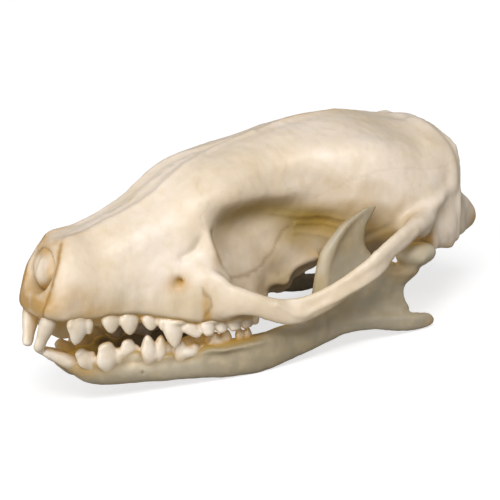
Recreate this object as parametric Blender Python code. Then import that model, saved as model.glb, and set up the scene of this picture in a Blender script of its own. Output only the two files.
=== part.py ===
"""Life-size hedgehog skull: the cranium and the two lower jaw bones, each one solid with its teeth."""

import math

import bmesh
import bpy
import numpy as np
from mathutils import Matrix

# The bones are drawn in millimetres in the skull's own frame, with the tooth rows level:
# x is the animal's left, y runs back from the snout and z is up. They are then laid down to rest.
MM = 0.001

# Driving dimensions
SNOUT_Y = 1.2  # front of the premaxilla
OCCIPUT_Y = 58.6  # back of the braincase, between the condyles
BRAINCASE_HALF = 12.2  # half the braincase's greatest width
ORBIT_WALL = 5.7  # half the width between the inner walls of the orbits
ARCH_HALF = 17.0  # half the width across the middle of the cheek arches
ARCH_THICK = 0.75  # half the thickness of a cheek arch
JAW_HALF_GAP = 0.16  # each jaw bone's distance from the midline at the chin
ROOT_DEPTH = 1.3  # how far a tooth's root is sunk into the bone

# Lines that run along the cranium, as (y, x, z): from the top midline round the left side to the palate.
TOP_LINE = [
    (1.2, 0, 14.4), (1.7, 0, 16.8), (2.7, 0, 18.9), (3.8, 0, 20.5), (5.7, 0, 21.2), (8.3, 0, 22.0),
    (11.6, 0, 23.1), (15, 0, 24.6), (18.4, 0, 26.7), (21, 0, 28.0), (25, 0, 28.9), (30, 0, 29.9),
    (36, 0, 30.9), (42, 0, 31.3), (46, 0, 30.8), (50.5, 0, 29.5), (53.3, 0, 28.4), (54.6, 0, 25.8),
    (56.6, 0, 21.2), (58.6, 0, 18.6),
]
SHOULDER_LINE = [
    (1.2, 1.8, 14.3), (2.7, 2.4, 18.5), (3.8, 2.4, 20.2), (8.3, 2.1, 21.8), (12, 2.2, 23.0), (16, 3.0, 24.8),
    (19, 4.1, 26.5), (22, 4.7, 27.6), (26, 4.2, 28.6), (30, 3.0, 29.6), (36, 3.8, 30.4), (42, 5.0, 30.5),
    (48, 5.4, 29.2), (53.3, 5.9, 27.6), (57, 3.0, 20.7), (58.6, 2.0, 18.3),
]
UPPER_LINE = [
    (1.2, 3.3, 13.9), (2.7, 4.5, 17.2), (3.8, 4.6, 18.4), (8.3, 4.6, 19.8), (12, 5.1, 21.2), (16, 6.1, 22.7),
    (19, 7.1, 24.0), (22, 7.7, 25.0), (26, 7.5, 26.0), (30, 6.9, 26.9), (34, 7.6, 27.7), (38, 9.0, 28.2),
    (42, 10.1, 28.0), (48, 10.3, 26.4), (53.3, 9.5, 25.0), (57, 5.4, 19.6), (58.6, 3.2, 17.6),
]
SIDE_LINE = [
    (1.2, 4.0, 13.6), (2.7, 5.3, 15.2), (5, 5.8, 15.6), (8.3, 6.1, 16.5), (12, 6.8, 17.2), (16, 7.9, 17.8),
    (18.6, 8.6, 18.6), (20.3, 8.8, 19.0), (21.8, 7.4, 19.6), (23.6, 6.2, 19.9), (26, ORBIT_WALL, 20.2),
    (30, ORBIT_WALL, 21.0), (34, 6.9, 22.2), (38, 9.6, 23.0), (42, 11.4, 22.8), (46, BRAINCASE_HALF, 22.0),
    (50, 11.9, 20.9), (53.3, 10.2, 19.5), (57, 6.0, 17.4), (58.6, 3.7, 16.4),
]
LOWER_LINE = [
    (1.2, 3.8, 13.1), (2.7, 5.2, 13.5), (5, 5.6, 13.4), (8.3, 6.0, 13.8), (12, 6.9, 13.9), (16, 8.5, 13.9),
    (19, 9.7, 14.0), (21, 10.2, 14.0), (23, 9.9, 13.3), (26, 8.9, 12.6), (29, 6.2, 13.4), (31.5, 4.6, 15.2),
    (35, 5.4, 17.0), (38, 7.8, 18.2), (42, 10.6, 18.4), (46, 11.4, 17.8), (50, 10.9, 17.0), (53.3, 9.4, 16.2),
    (57, 5.8, 15.2), (58.6, 3.6, 15.3),
]
TOOTH_LINE = [
    (1.2, 3.3, 12.7), (2.7, 4.8, 12.6), (5, 5.4, 12.2), (8.3, 5.9, 12.4), (12, 6.7, 12.1), (16, 8.4, 11.1),
    (19, 9.5, 10.6), (22, 10.1, 10.3), (25, 10.0, 10.3), (27.6, 8.0, 10.9), (30.5, 4.6, 12.6),
    (34, 4.3, 13.9), (38, 5.4, 14.8), (42, 7.4, 15.0), (46, 8.0, 14.5), (50, 8.0, 14.4),
    (53.3, 7.2, 14.9), (57, 4.6, 14.8), (58.6, 2.8, 15.0),
]
PALATE_EDGE = [
    (1.2, 1.9, 12.4), (2.7, 3.0, 12.1), (5, 3.6, 12.0), (8.3, 3.9, 12.2), (12, 4.4, 12.1), (16, 5.2, 11.5),
    (22, 6.2, 11.1), (28, 4.8, 11.4), (31, 2.6, 12.6), (34, 2.4, 13.8), (38, 3.0, 14.4), (46, 4.2, 13.9),
    (53.3, 4.0, 14.3), (57, 2.8, 14.6), (58.6, 1.6, 14.9),
]
PALATE_MIDLINE = [
    (1.2, 0, 12.3), (5, 0, 12.5), (16, 0, 12.7), (28, 0, 12.2), (30.5, 0, 12.6), (32.5, 0, 14.2),
    (38, 0, 14.6), (46, 0, 14.0), (53.3, 0, 14.2), (57, 0, 14.7), (58.6, 0, 15.0),
]
CROWDED = [(SNOUT_Y, 2.0, 1.0), (21.2, 2.0, 0.8), (OCCIPUT_Y, 2.5, 0.9)]  # place, reach and extra share
CRANIUM_LINES = [
    TOP_LINE, SHOULDER_LINE, UPPER_LINE, SIDE_LINE, LOWER_LINE, TOOTH_LINE, PALATE_EDGE, PALATE_MIDLINE,
]

# Bars of bone, as (x, y, z, half height, half thickness) along their middle.
CHEEK_ARCH = [
    (8.2, 17.6, 13.6, 2.2, 0.9), (9.6, 19.6, 13.8, 3.0, 1.0), (11.0, 21.1, 13.1, 2.3, 1.0),
    (12.1, 22.4, 13.0, 1.8, 0.95), (13.0, 24.0, 12.5, 1.5, 0.9), (13.6, 25.4, 11.9, 1.5, 0.85),
    (14.2, 27.4, 11.4, 1.75, ARCH_THICK), (15.2, 30.0, 11.9, 1.55, ARCH_THICK),
    (16.0, 32.0, 12.8, 1.45, ARCH_THICK), (16.7, 34.8, 14.3, 1.4, ARCH_THICK),
    (ARCH_HALF, 37.4, 15.8, 1.45, ARCH_THICK), (16.6, 40.0, 17.5, 1.3, 0.8), (16.0, 42.0, 18.3, 1.3, 0.9),
    (14.9, 44.2, 19.1, 1.1, 1.2), (13.3, 46.2, 19.4, 1.1, 1.6), (11.0, 47.6, 19.3, 1.2, 1.8),
    (9.4, 48.4, 19.2, 1.1, 1.7),
]


def smooth(stations, at):
    """Values of a smooth curve through stations (t, values...), read at the given t."""
    table = np.array(stations, float)
    t, values = table[:, 0], table[:, 1:]
    gap = np.diff(t)[:, None]
    slope = np.diff(values, axis=0) / gap
    inner = (gap[1:] * slope[:-1] + gap[:-1] * slope[1:]) / (gap[1:] + gap[:-1])
    tangent = np.vstack([slope[:1], inner, slope[-1:]])
    at = np.clip(np.atleast_1d(at), t[0], t[-1])
    i = np.clip(np.searchsorted(t, at, side="right") - 1, 0, len(t) - 2)
    h = gap[i]
    s = (at - t[i])[:, None] / h
    return (
        (1 + 2 * s) * (1 - s) ** 2 * values[i]
        + s * (1 - s) ** 2 * h * tangent[i]
        + s * s * (3 - 2 * s) * values[i + 1]
        + s * s * (s - 1) * h * tangent[i + 1]
    )


def along(points):
    """Each point with its distance along the line put before it, as smooth() takes them."""
    points = np.array(points, float)
    steps = np.linalg.norm(np.diff(points[:, :3], axis=0), axis=1)
    return np.column_stack([np.concatenate([[0], np.cumsum(steps)]), points])


def loft(rings):
    """(points, faces) of a closed skin through rings of points, with a fan over each end."""
    rings = np.asarray(rings, float)
    count, sides = rings.shape[:2]
    points = np.vstack([rings.reshape(-1, 3), rings[0].mean(0), rings[-1].mean(0)])
    j = np.arange(sides)
    k = (j + 1) % sides
    faces = []
    for low in range(0, (count - 1) * sides, sides):
        faces += np.column_stack([low + j, low + k, low + sides + k, low + sides + j]).tolist()
    last = (count - 1) * sides
    faces += np.column_stack([np.full(sides, last + sides), k, j]).tolist()
    faces += np.column_stack([np.full(sides, last + sides + 1), last + j, last + k]).tolist()
    return points, faces


def bar(stations, step, sides=10, up=(0, 0, 1), away_from=None):
    """A bar swept along stations (x, y, z, half height, half thickness), its height along up.
    With away_from, its height points away from that point instead."""
    line = along(stations)
    count = max(3, int(math.ceil(line[-1, 0] / step)) + 1)
    at = np.linspace(0, line[-1, 0], count)
    path = smooth(line, at)
    middle = path[:, :3]
    tangent = np.gradient(middle, at, axis=0)
    tangent /= np.linalg.norm(tangent, axis=1)[:, None]
    high = np.tile(np.array(up, float), (count, 1))
    if away_from is not None:
        high = middle - np.array(away_from, float)
    high -= (high * tangent).sum(1)[:, None] * tangent
    high /= np.linalg.norm(high, axis=1)[:, None]
    wide = np.cross(tangent, high)
    angle = np.arange(sides) * math.tau / sides
    rings = (
        middle[:, None]
        + high[:, None] * (path[:, 3:4] * np.cos(angle))[..., None]
        + wide[:, None] * (path[:, 4:5] * np.sin(angle))[..., None]
    )
    return loft(rings)


def ball(centre, radii, rings=8, sides=12, turn=None):
    """An ellipsoid, its poles along z, turned by a rotation matrix if one is given."""
    rise = np.linspace(0, math.pi, rings + 1)[1:-1]
    angle = np.arange(sides) * math.tau / sides
    shape = np.stack(
        [
            np.sin(rise)[:, None] * np.cos(angle),
            np.sin(rise)[:, None] * np.sin(angle),
            np.cos(rise)[:, None] + 0 * angle,
        ],
        axis=-1,
    ) * np.array(radii, float)
    points, faces = loft(shape)
    points[-2:] = [(0, 0, radii[2]), (0, 0, -radii[2])]
    if turn is not None:
        points = points @ np.array(turn).T
    return points + np.array(centre, float), faces


def mirrored(shape):
    """The same shape on the animal's right side."""
    points, faces = shape
    return points * (-1, 1, 1), [face[::-1] for face in faces]


def both_sides(shapes):
    return [one for shape in shapes for one in (shape, mirrored(shape))]


def cranium_core(step, per_span):
    """The braincase, face and palate as one skin through the cranium's lines."""
    # Stations are closer together at the snout, the orbit's front edge and the occiput.
    fine = np.linspace(SNOUT_Y, OCCIPUT_Y, 2000)
    crowd = 0.8 + sum(more * np.exp(-(((fine - place) / reach) ** 2)) for place, reach, more in CROWDED)
    total = np.concatenate([[0], np.cumsum((crowd[1:] + crowd[:-1]) / 2)]) * (fine[1] - fine[0])
    y = np.interp(np.linspace(0, total[-1], int(total[-1] / step) + 1), total, fine)
    lines = np.stack([smooth(line, y) for line in CRANIUM_LINES], axis=1)
    span = np.linspace(0, 1, per_span, endpoint=False)
    rings = []
    for place, half in zip(y, lines):
        right = half[-2:0:-1] * (-1, 1)
        around = np.vstack([half, right, half[:1]])
        wrapped = np.vstack([around[-2], around, around[1]])
        chord = np.linalg.norm(np.diff(wrapped, axis=0), axis=1) ** 0.5
        t = np.concatenate([[0], np.cumsum(chord)])
        at = np.concatenate([t[i] + span * (t[i + 1] - t[i]) for i in range(1, len(half))] + [[t[len(half)]]])
        left = smooth(np.column_stack([t, wrapped]), at)
        outline = np.vstack([left, left[-2:0:-1] * (-1, 1)])
        rings.append(np.column_stack([outline[:, 0], np.full(len(outline), place), outline[:, 1]]))
    return loft(rings)


# Ridges and knobs of the cranium's left side, as bars like the cheek arch.
NECK_CREST = [
    (-0.7, 52.6, 29.0, 1.0, 0.8), (2.4, 52.7, 28.8, 0.9, 0.6), (4.4, 53.0, 28.4, 0.9, 0.55),
    (6.3, 53.6, 27.5, 0.9, 0.5), (7.9, 54.0, 26.3, 0.95, 0.5), (8.9, 53.8, 24.8, 0.9, 0.5),
    (9.8, 53.3, 23.0, 0.85, 0.55), (10.2, 52.9, 20.5, 0.9, 0.7), (10.2, 52.7, 18.0, 0.9, 0.8),
    (10.0, 52.5, 15.4, 0.7, 0.7),
]
EAR_RIDGE = [
    (9.6, 53.0, 23.2, 0.7, 0.6), (10.9, 51.2, 22.2, 0.8, 0.7), (12.0, 49.4, 21.1, 0.8, 0.8),
    (12.7, 47.6, 20.3, 0.8, 0.9), (13.4, 45.8, 19.8, 0.7, 0.9),
]
PTERYGOID = [
    (4.4, 28.6, 12.9, 1.2, 0.7), (4.2, 30.6, 12.4, 1.4, 0.5), (4.0, 32.2, 12.2, 1.4, 0.45),
    (3.8, 33.6, 13.5, 1.0, 0.4), (3.8, 36.4, 14.8, 1.0, 0.5),
]
TOP_CREST = [
    (0, 27.5, 28.9, 0.5, 0.5), (0, 32, 30.1, 0.6, 0.5), (0, 37, 31.0, 0.65, 0.5), (0, 42, 31.1, 0.65, 0.5),
    (0, 47, 30.2, 0.7, 0.5), (0, 52.4, 28.9, 0.9, 0.7),
]
POST_GLENOID = [(11.4, 48.2, 18.6, 0.9, 1.5), (11.7, 48.5, 16.6, 0.75, 1.2), (11.8, 48.7, 15.1, 0.5, 0.8)]
OCCIPITAL_CONDYLE = [
    (6.9, 53.8, 21.6, 1.2, 1.0), (6.0, 55.4, 19.9, 1.3, 1.2), (4.9, 57.2, 18.1, 1.3, 1.2),
    (4.3, 58.4, 16.7, 1.2, 1.1), (3.9, 58.2, 15.6, 0.9, 0.9),
]
MASTOID = [
    (10.0, 51.6, 22.4, 1.2, 0.9), (10.5, 51.4, 19.6, 1.5, 1.1), (10.6, 51.3, 16.9, 1.5, 1.2),
    (10.5, 51.2, 14.8, 1.0, 0.8),
]
NOSTRIL = [
    (0, -0.6, 16.6, 4.0, 4.0), (0, 0.8, 16.7, 3.5, 3.6), (0, 2.6, 16.9, 2.8, 2.6), (0, 5, 17.1, 2.4, 2.2),
    (0, 8.5, 17.2, 1.4, 1.4),
]

# Teeth of the left side: name, (x, y, z) at the gum, half length and half width there,
# direction the root runs in, and the cusps as (x, y, z, radius at the crown's waist).
UPPER_TEETH = [
    ("I1", (2.75, 2.1, 12.7), 1.05, 0.95, (0.15, 0.75, 1.0), [(1.5, 0.85, 8.5, 0.72)]),
    ("I3", (5.0, 4.9, 12.0), 1.3, 0.8, (0.0, 0.2, 1.0), [(4.75, 4.4, 9.3, 0.8)]),
    ("C", (5.9, 8.7, 12.2), 1.2, 0.85, (0.0, 0.1, 1.0), [(5.6, 8.8, 10.1, 0.8)]),
    ("P2", (6.4, 11.1, 12.1), 1.3, 0.9, (0.0, 0.0, 1.0), [(6.3, 11.1, 9.6, 0.85)]),
    ("P3", (6.9, 13.4, 11.9), 1.1, 1.15, (0.0, 0.0, 1.0), [(6.9, 13.3, 9.9, 0.85)]),
    ("P4", (7.5, 16.2, 11.3), 2.0, 1.8, (-0.1, 0.0, 1.0),
     [(8.5, 15.3, 7.85, 0.95), (9.0, 17.2, 8.8, 0.8), (6.1, 15.8, 9.85, 0.75), (6.3, 17.3, 9.95, 0.7)]),
    ("M1", (8.1, 19.9, 11.0), 1.65, 2.1, (-0.1, 0.0, 1.0),
     [(9.7, 19.2, 8.9, 0.8), (9.8, 20.7, 9.0, 0.75), (6.7, 19.3, 9.8, 0.75), (6.8, 20.7, 9.9, 0.75)]),
    ("M2", (8.8, 22.9, 10.9), 1.35, 1.75, (-0.1, 0.0, 1.0),
     [(10.1, 22.3, 9.2, 0.65), (10.0, 23.6, 9.5, 0.6), (7.6, 22.4, 9.9, 0.65), (7.7, 23.5, 9.9, 0.6)]),
    ("M3", (8.9, 25.0, 10.7), 0.75, 1.1, (-0.1, 0.0, 1.0), [(9.4, 25.0, 9.7, 0.5), (8.3, 25.0, 9.8, 0.5)]),
]
LOWER_TEETH = [
    ("i1", (1.35, 4.8, 6.6), 0.8, 0.75, (0.15, 1.0, -0.3), [(0.95, 1.95, 8.3, 0.6)]),
    ("i3", (2.95, 6.3, 6.1), 1.15, 0.65, (0.1, 0.3, -1.0), [(3.0, 5.9, 8.1, 0.75)]),
    ("c", (3.9, 8.8, 6.1), 1.5, 0.85, (0.05, 0.3, -1.0), [(4.4, 8.3, 8.9, 0.75)]),
    ("p3", (4.85, 11.1, 6.2), 1.2, 0.85, (0.0, 0.1, -1.0), [(5.0, 10.8, 8.8, 0.75)]),
    ("p4", (5.7, 13.7, 6.2), 1.5, 1.0, (0.0, 0.0, -1.0), [(6.0, 13.0, 9.2, 0.75), (6.2, 14.6, 9.1, 0.75)]),
    ("m1", (6.9, 17.5, 6.2), 2.2, 1.2, (0.0, 0.0, -1.0),
     [(6.5, 16.1, 9.2, 0.8), (7.2, 17.2, 9.0, 0.8), (7.5, 18.9, 8.5, 0.75), (6.6, 18.3, 8.9, 0.75)]),
    ("m2", (8.2, 21.3, 6.5), 1.6, 1.15, (0.0, 0.0, -1.0),
     [(7.8, 20.3, 9.0, 0.7), (8.5, 20.6, 8.8, 0.65), (8.2, 22.1, 8.9, 0.65), (8.8, 22.3, 8.7, 0.6)]),
    ("m3", (9.2, 24.0, 7.2), 1.0, 0.8, (0.0, 0.0, -1.0), [(9.0, 23.5, 9.0, 0.5), (9.3, 24.5, 8.9, 0.5)]),
]

# The left jaw bone's body, from the chin back to the angular process, as a bar.
JAW_BODY = [
    (1.2, 4.5, 6.3, 0.5, 0.8), (1.6, 5.7, 5.8, 0.95, 1.1), (2.4, 7.4, 5.1, 1.4, 1.25),
    (3.4, 9.4, 5.0, 1.5, 1.3), (4.5, 11.6, 4.95, 1.45, 1.2), (5.6, 14.4, 4.9, 1.45, 1.2),
    (7.0, 17.8, 4.9, 1.5, 1.25), (8.5, 21.6, 5.15, 1.8, 1.25), (9.7, 25.0, 5.75, 2.15, 1.2),
    (10.7, 28.6, 6.8, 2.2, 1.1), (11.4, 32.0, 7.6, 1.9, 0.95), (12.0, 36.0, 8.3, 1.4, 0.8),
    (12.5, 40.0, 8.0, 1.2, 0.75), (13.0, 43.6, 7.3, 1.2, 0.7), (13.3, 45.6, 7.2, 1.1, 0.6),
    (13.45, 46.8, 7.1, 0.85, 0.5), (13.5, 47.4, 7.0, 0.35, 0.3),
]
# The ramus in level slices: z, front edge and back edge (y), half thickness at front, middle and back.
RAMUS = [
    (7.0, 29.5, 44.0, 0.8, 0.5, 0.5), (9.0, 30.4, 44.4, 0.85, 0.45, 0.5), (10.6, 31.2, 43.7, 0.9, 0.42, 0.5),
    (12.0, 31.9, 44.0, 0.9, 0.42, 0.55), (13.4, 32.3, 44.4, 0.9, 0.42, 0.6),
    (14.6, 32.5, 43.2, 0.85, 0.42, 0.5), (15.6, 32.8, 40.6, 0.8, 0.42, 0.4),
    (17.0, 33.3, 39.3, 0.75, 0.42, 0.35), (18.3, 34.3, 39.1, 0.7, 0.42, 0.35),
    (19.6, 35.4, 39.5, 0.6, 0.4, 0.35), (20.6, 36.8, 40.1, 0.5, 0.38, 0.32),
    (21.3, 38.3, 40.8, 0.4, 0.34, 0.3), (21.9, 39.6, 40.9, 0.25, 0.25, 0.2),
]
RAMUS_LEAN = [(28, 10.8), (32, 11.5), (36, 11.9), (40, 12.2), (44, 12.7), (48, 13.3)]
CONDYLE_NECK = [
    (12.3, 41.2, 10.8, 0.9, 0.6), (12.6, 42.8, 12.4, 1.2, 0.8), (12.9, 44.2, 13.8, 1.3, 1.2),
    (13.1, 44.9, 15.0, 1.1, 1.5),
]


def tooth(gum, half_length, half_width, root, cusps, sides):
    """A tooth as closed skins: a crown with its root sunk in the bone, and a cone for each cusp."""
    gum = np.array(gum, float)
    root = np.array(root, float)
    root /= np.linalg.norm(root)
    tips = np.array(cusps, float)
    angle = np.arange(sides) * math.tau / sides
    middle = tips[:, :3].mean(0)
    # The crown swells just past the gum and, when it has several cusps, ends flat below them.
    single = len(cusps) == 1
    levels = [(-ROOT_DEPTH, 0.62), (-0.3, 0.86), (0.15, 0.96)]
    if single:
        levels += [(0.3, 1.0), (0.55, 0.86), (0.8, 0.52), (0.95, 0.22)]
    else:
        levels += [(0.25, 1.0), (0.5, 0.97), (0.72, 0.78)]
    out = []
    ring_list = []
    for level, size in levels:
        if level < 0:
            centre = gum - root * level
        else:
            centre = gum + (middle - gum) * level
        flat = np.column_stack([half_width * np.cos(angle), half_length * np.sin(angle), 0 * angle]) * size
        # Rings tilt to stand across a leaning tooth.
        axis = root if level < 0 else (gum - middle) / np.linalg.norm(gum - middle)
        axis = axis if axis[2] * root[2] > 0 else -axis
        up = np.array([0, 0, 1.0 if root[2] > 0 else -1.0])
        flat = flat - np.outer(flat @ axis, up) / max(abs(axis @ up), 0.45)
        ring_list.append(centre + flat)
    if single:
        ring_list.append(tips[0, :3] + (ring_list[-1] - ring_list[-1].mean(0)) * 0.35)
    out.append(loft(ring_list))
    if not single:
        angle = np.arange(sides - 2) * math.tau / (sides - 2)
        for x, y, z, radius in cusps:
            tip = np.array([x, y, z])
            foot = tip.copy()
            foot[2] = gum[2] + (middle[2] - gum[2]) * 0.3
            foot[:2] = gum[:2] + (tip[:2] - gum[:2]) * 0.82
            cone = []
            for share, size in ((0, 1.0), (0.5, 0.85), (0.96, 0.2)):
                centre = foot + (tip - foot) * share
                circle = np.column_stack([np.cos(angle), np.sin(angle), 0 * angle]) * radius * size
                cone.append(centre + circle)
            out.append(loft(cone))
    return out


def cranium_shapes(step, per_span, bar_step, sides):
    """Closed skins that join into the cranium's bone, and those that are cut from it."""
    parts = [cranium_core(step, per_span)]
    left = [
        bar(CHEEK_ARCH, bar_step, sides),
        bar(NECK_CREST, bar_step, 6, away_from=(0, 45, 19)),
        bar(EAR_RIDGE, bar_step, 6),
        bar(PTERYGOID, bar_step, 6),
        bar(POST_GLENOID, bar_step, 6, up=(0, 1, 0)),
        ball((12.2, 45.6, 18.4), (2.7, 2.1, 1.35)),
        bar(OCCIPITAL_CONDYLE, 1.2, 8, up=(0, 1, 0)),
        bar(MASTOID, bar_step, 8, up=(0, 1, 0)),
    ]
    parts += both_sides(left)
    parts.append(bar(TOP_CREST, bar_step, 6))
    cuts = [
        ball((0, 57.8, 17.2), (3.1, 4.6, 2.6), 10, 16),
        bar(NOSTRIL, 1.2, 16),
        ball((0, 33.6, 13.6), (2.3, 4.6, 1.1), 8, 12),
    ]
    return parts, cuts


def ramus(per_edge):
    """The upright plate of the left jaw bone, skinned over its level slices."""
    z = np.linspace(RAMUS[0][0], RAMUS[-1][0], len(RAMUS) + 3)
    slices = smooth(RAMUS, z)
    share = (1 - np.cos(np.linspace(0, math.pi, per_edge))) / 2
    rings = []
    for height, (front, back, thick_f, thick_m, thick_b) in zip(z, slices):
        y = front + (back - front) * share
        stations = [(0, thick_f), (0.12, thick_f), (0.4, thick_m), (0.8, thick_m), (1, thick_b)]
        half = smooth(stations, share)[:, 0]
        half = half * np.clip(np.sin(math.pi * np.clip(share, 0.02, 0.98)) * 4, 0, 1) ** 0.5
        lean = smooth(RAMUS_LEAN, y)[:, 0]
        outer = np.column_stack([lean + half, y, np.full(per_edge, height)])
        inner = np.column_stack([lean - half, y, np.full(per_edge, height)])[::-1]
        rings.append(np.vstack([outer, inner]))
    return loft(rings)


def jaw_shapes(step, sides, per_edge):
    """Closed skins that join into the left jaw bone."""
    return [
        bar(JAW_BODY, step, sides),
        ramus(per_edge),
        bar(CONDYLE_NECK, step, 10, up=(0, 1, 0)),
        ball((13.1, 45.3, 15.2), (2.1, 1.55, 1.2)),
        ball((1.1, 7.0, 5.8), (1.1, 2.4, 0.95)),
    ]


def tooth_row(teeth, sides):
    """Closed skins of the left side's teeth."""
    return [skin for name, *sizes in teeth for skin in tooth(*sizes, sides)]


def mesh_object(name, shape):
    """A mesh object from (points, faces), its faces turned outward."""
    points, faces = shape
    mesh = bpy.data.meshes.new(name)
    mesh.from_pydata(points.tolist(), [], faces)
    solid = bmesh.new()
    solid.from_mesh(mesh)
    bmesh.ops.recalc_face_normals(solid, faces=solid.faces[:])
    solid.to_mesh(mesh)
    solid.free()
    made = bpy.data.objects.new(name, mesh)
    bpy.context.scene.collection.objects.link(made)
    return made


def carve(target, operation, shapes, solver="EXACT"):
    """Join the shapes to the target or cut them from it in one step, then drop them."""
    group = bpy.data.collections.new("tools")
    bpy.context.scene.collection.children.link(group)
    for number, shape in enumerate(shapes):
        tool = mesh_object(f"tool_{number}", shape)
        bpy.context.scene.collection.objects.unlink(tool)
        group.objects.link(tool)
    modifier = target.modifiers.new("carve", "BOOLEAN")
    modifier.operation = operation
    modifier.operand_type = "COLLECTION"
    modifier.collection = group
    modifier.solver = solver
    bpy.context.view_layer.objects.active = target
    bpy.ops.object.modifier_apply(modifier=modifier.name)
    for tool in list(group.objects):
        bpy.data.objects.remove(tool)
    bpy.data.collections.remove(group)


def keep_largest(target):
    """Leave only the largest closed surface, with near-equal corners merged."""
    solid = bmesh.new()
    solid.from_mesh(target.data)
    bmesh.ops.remove_doubles(solid, verts=solid.verts[:], dist=0.002)
    solid.verts.ensure_lookup_table()
    left = set(solid.verts)
    bodies = []
    while left:
        queue = [left.pop()]
        body = set(queue)
        while queue:
            for edge in queue.pop().link_edges:
                for other in edge.verts:
                    if other in left:
                        left.discard(other)
                        body.add(other)
                        queue.append(other)
        bodies.append(body)
    bodies.sort(key=len)
    for body in bodies[:-1]:
        bmesh.ops.delete(solid, geom=list(body), context="VERTS")
    bmesh.ops.recalc_face_normals(solid, faces=solid.faces[:])
    solid.to_mesh(target.data)
    solid.free()


def joined(name, parts, cuts=()):
    """One solid from closed skins in millimetres."""
    made = mesh_object(name, parts[0])
    carve(made, "UNION", parts[1:])
    if cuts:
        carve(made, "DIFFERENCE", cuts)
    keep_largest(made)
    return made


def material(name, colour, roughness):
    made = bpy.data.materials.new(name)
    made.use_nodes = True
    shader = made.node_tree.nodes["Principled BSDF"]
    shader.inputs["Base Color"].default_value = (*colour, 1)
    shader.inputs["Roughness"].default_value = roughness
    return made


def rest_angle(points):
    """The turn about x, in radians, that brings the jaw's belly and its angular processes level."""
    low, high = 0.0, 0.3
    for _ in range(40):
        turn = (low + high) / 2
        z = points[:, 2] * math.cos(turn) - points[:, 1] * math.sin(turn)
        front = z[points[:, 1] < 33].min()
        back = z[points[:, 1] > 33].min()
        if back > front:
            low = turn
        else:
            high = turn
    return turn


def build():
    for old in list(bpy.data.objects):
        bpy.data.objects.remove(old)

    parts, cuts = cranium_shapes(1.35, 3, 2.0, 8)
    cranium = joined("cranium", parts + both_sides(tooth_row(UPPER_TEETH, 8)), cuts)

    jaw = jaw_shapes(1.8, 10, 10) + tooth_row(LOWER_TEETH, 8)
    # The jaw stops short of the midline, where a box is cut away.
    corners = [(x, y, z) for z in (-2, 40) for y in (0, 60) for x in (-8, JAW_HALF_GAP)]
    faces = [[0, 2, 3, 1], [4, 5, 7, 6], [0, 1, 5, 4], [2, 6, 7, 3], [0, 4, 6, 2], [1, 3, 7, 5]]
    box = (np.array(corners, float), faces)
    left = joined("mandible_left", jaw, [box])
    right = left.copy()
    right.data = left.data.copy()
    right.name = "mandible_right"
    bpy.context.scene.collection.objects.link(right)
    right.data.transform(Matrix.Diagonal((-1, 1, 1, 1)))
    right.data.flip_normals()

    bone = material("bone", (0.80, 0.71, 0.55), 0.5)
    jaw_bone = material("jaw_bone", (0.76, 0.67, 0.52), 0.5)
    nodes = [cranium, left, right]
    cloud = np.array([corner.co[:] for node in nodes for corner in node.data.vertices])
    turn = rest_angle(cloud)
    laid = cloud @ np.array(Matrix.Rotation(-turn, 3, "X")).T
    low, high = laid.min(0), laid.max(0)
    lay = (
        Matrix.Scale(MM, 4)
        @ Matrix.Translation((0, -(low[1] + high[1]) / 2, -low[2]))
        @ Matrix.Rotation(-turn, 4, "X")
    )
    for node, skin in zip(nodes, (bone, jaw_bone, jaw_bone)):
        node.data.transform(lay)
        node.data.materials.clear()
        node.data.materials.append(skin)
        for face in node.data.polygons:
            face.use_smooth = True
        node.data.update()


build()
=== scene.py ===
"""Looks of a life-size hedgehog skull: aged, dry bone and enamelled teeth on a pale studio floor."""

import math

import bmesh
import bpy
import numpy as np
from mathutils import Matrix, Vector
from mathutils.bvhtree import BVHTree


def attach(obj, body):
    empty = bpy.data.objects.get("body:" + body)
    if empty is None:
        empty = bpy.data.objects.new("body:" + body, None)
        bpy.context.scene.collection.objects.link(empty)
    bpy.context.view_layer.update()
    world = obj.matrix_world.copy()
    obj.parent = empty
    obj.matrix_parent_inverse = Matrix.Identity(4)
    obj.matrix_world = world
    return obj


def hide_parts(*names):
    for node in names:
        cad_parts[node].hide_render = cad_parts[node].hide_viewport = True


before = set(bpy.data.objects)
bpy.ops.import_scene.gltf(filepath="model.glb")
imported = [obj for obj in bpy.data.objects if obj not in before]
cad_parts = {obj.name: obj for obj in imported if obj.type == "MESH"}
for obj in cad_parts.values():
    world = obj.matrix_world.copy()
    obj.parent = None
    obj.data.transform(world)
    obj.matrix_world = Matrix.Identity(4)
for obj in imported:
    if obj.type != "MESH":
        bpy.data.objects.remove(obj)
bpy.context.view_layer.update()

# The bones are drawn in millimetres in the skull's own frame, with the tooth rows level:
# x is the animal's left, y runs back from the snout and z is up. They are then laid down to rest
# on the jaw's belly and its angular processes, as the solids are.
MM = 0.001
REST_TURN = math.radians(6.9636)
REST_SHIFT = (0.0, -31.431, -0.536)
LAY = Matrix.Scale(MM, 4) @ Matrix.Translation(REST_SHIFT) @ Matrix.Rotation(-REST_TURN, 4, "X")

# Driving dimensions
SNOUT_Y = 1.2  # front of the premaxilla
OCCIPUT_Y = 58.6  # back of the braincase, between the condyles
BRAINCASE_HALF = 12.2  # half the braincase's greatest width
ORBIT_WALL = 5.7  # half the width between the inner walls of the orbits
ARCH_HALF = 17.0  # half the width across the middle of the cheek arches
ARCH_THICK = 0.75  # half the thickness of a cheek arch
JAW_HALF_GAP = 0.16  # each jaw bone's distance from the midline at the chin
ROOT_DEPTH = 1.3  # how far a tooth's root is sunk into the bone

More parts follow.
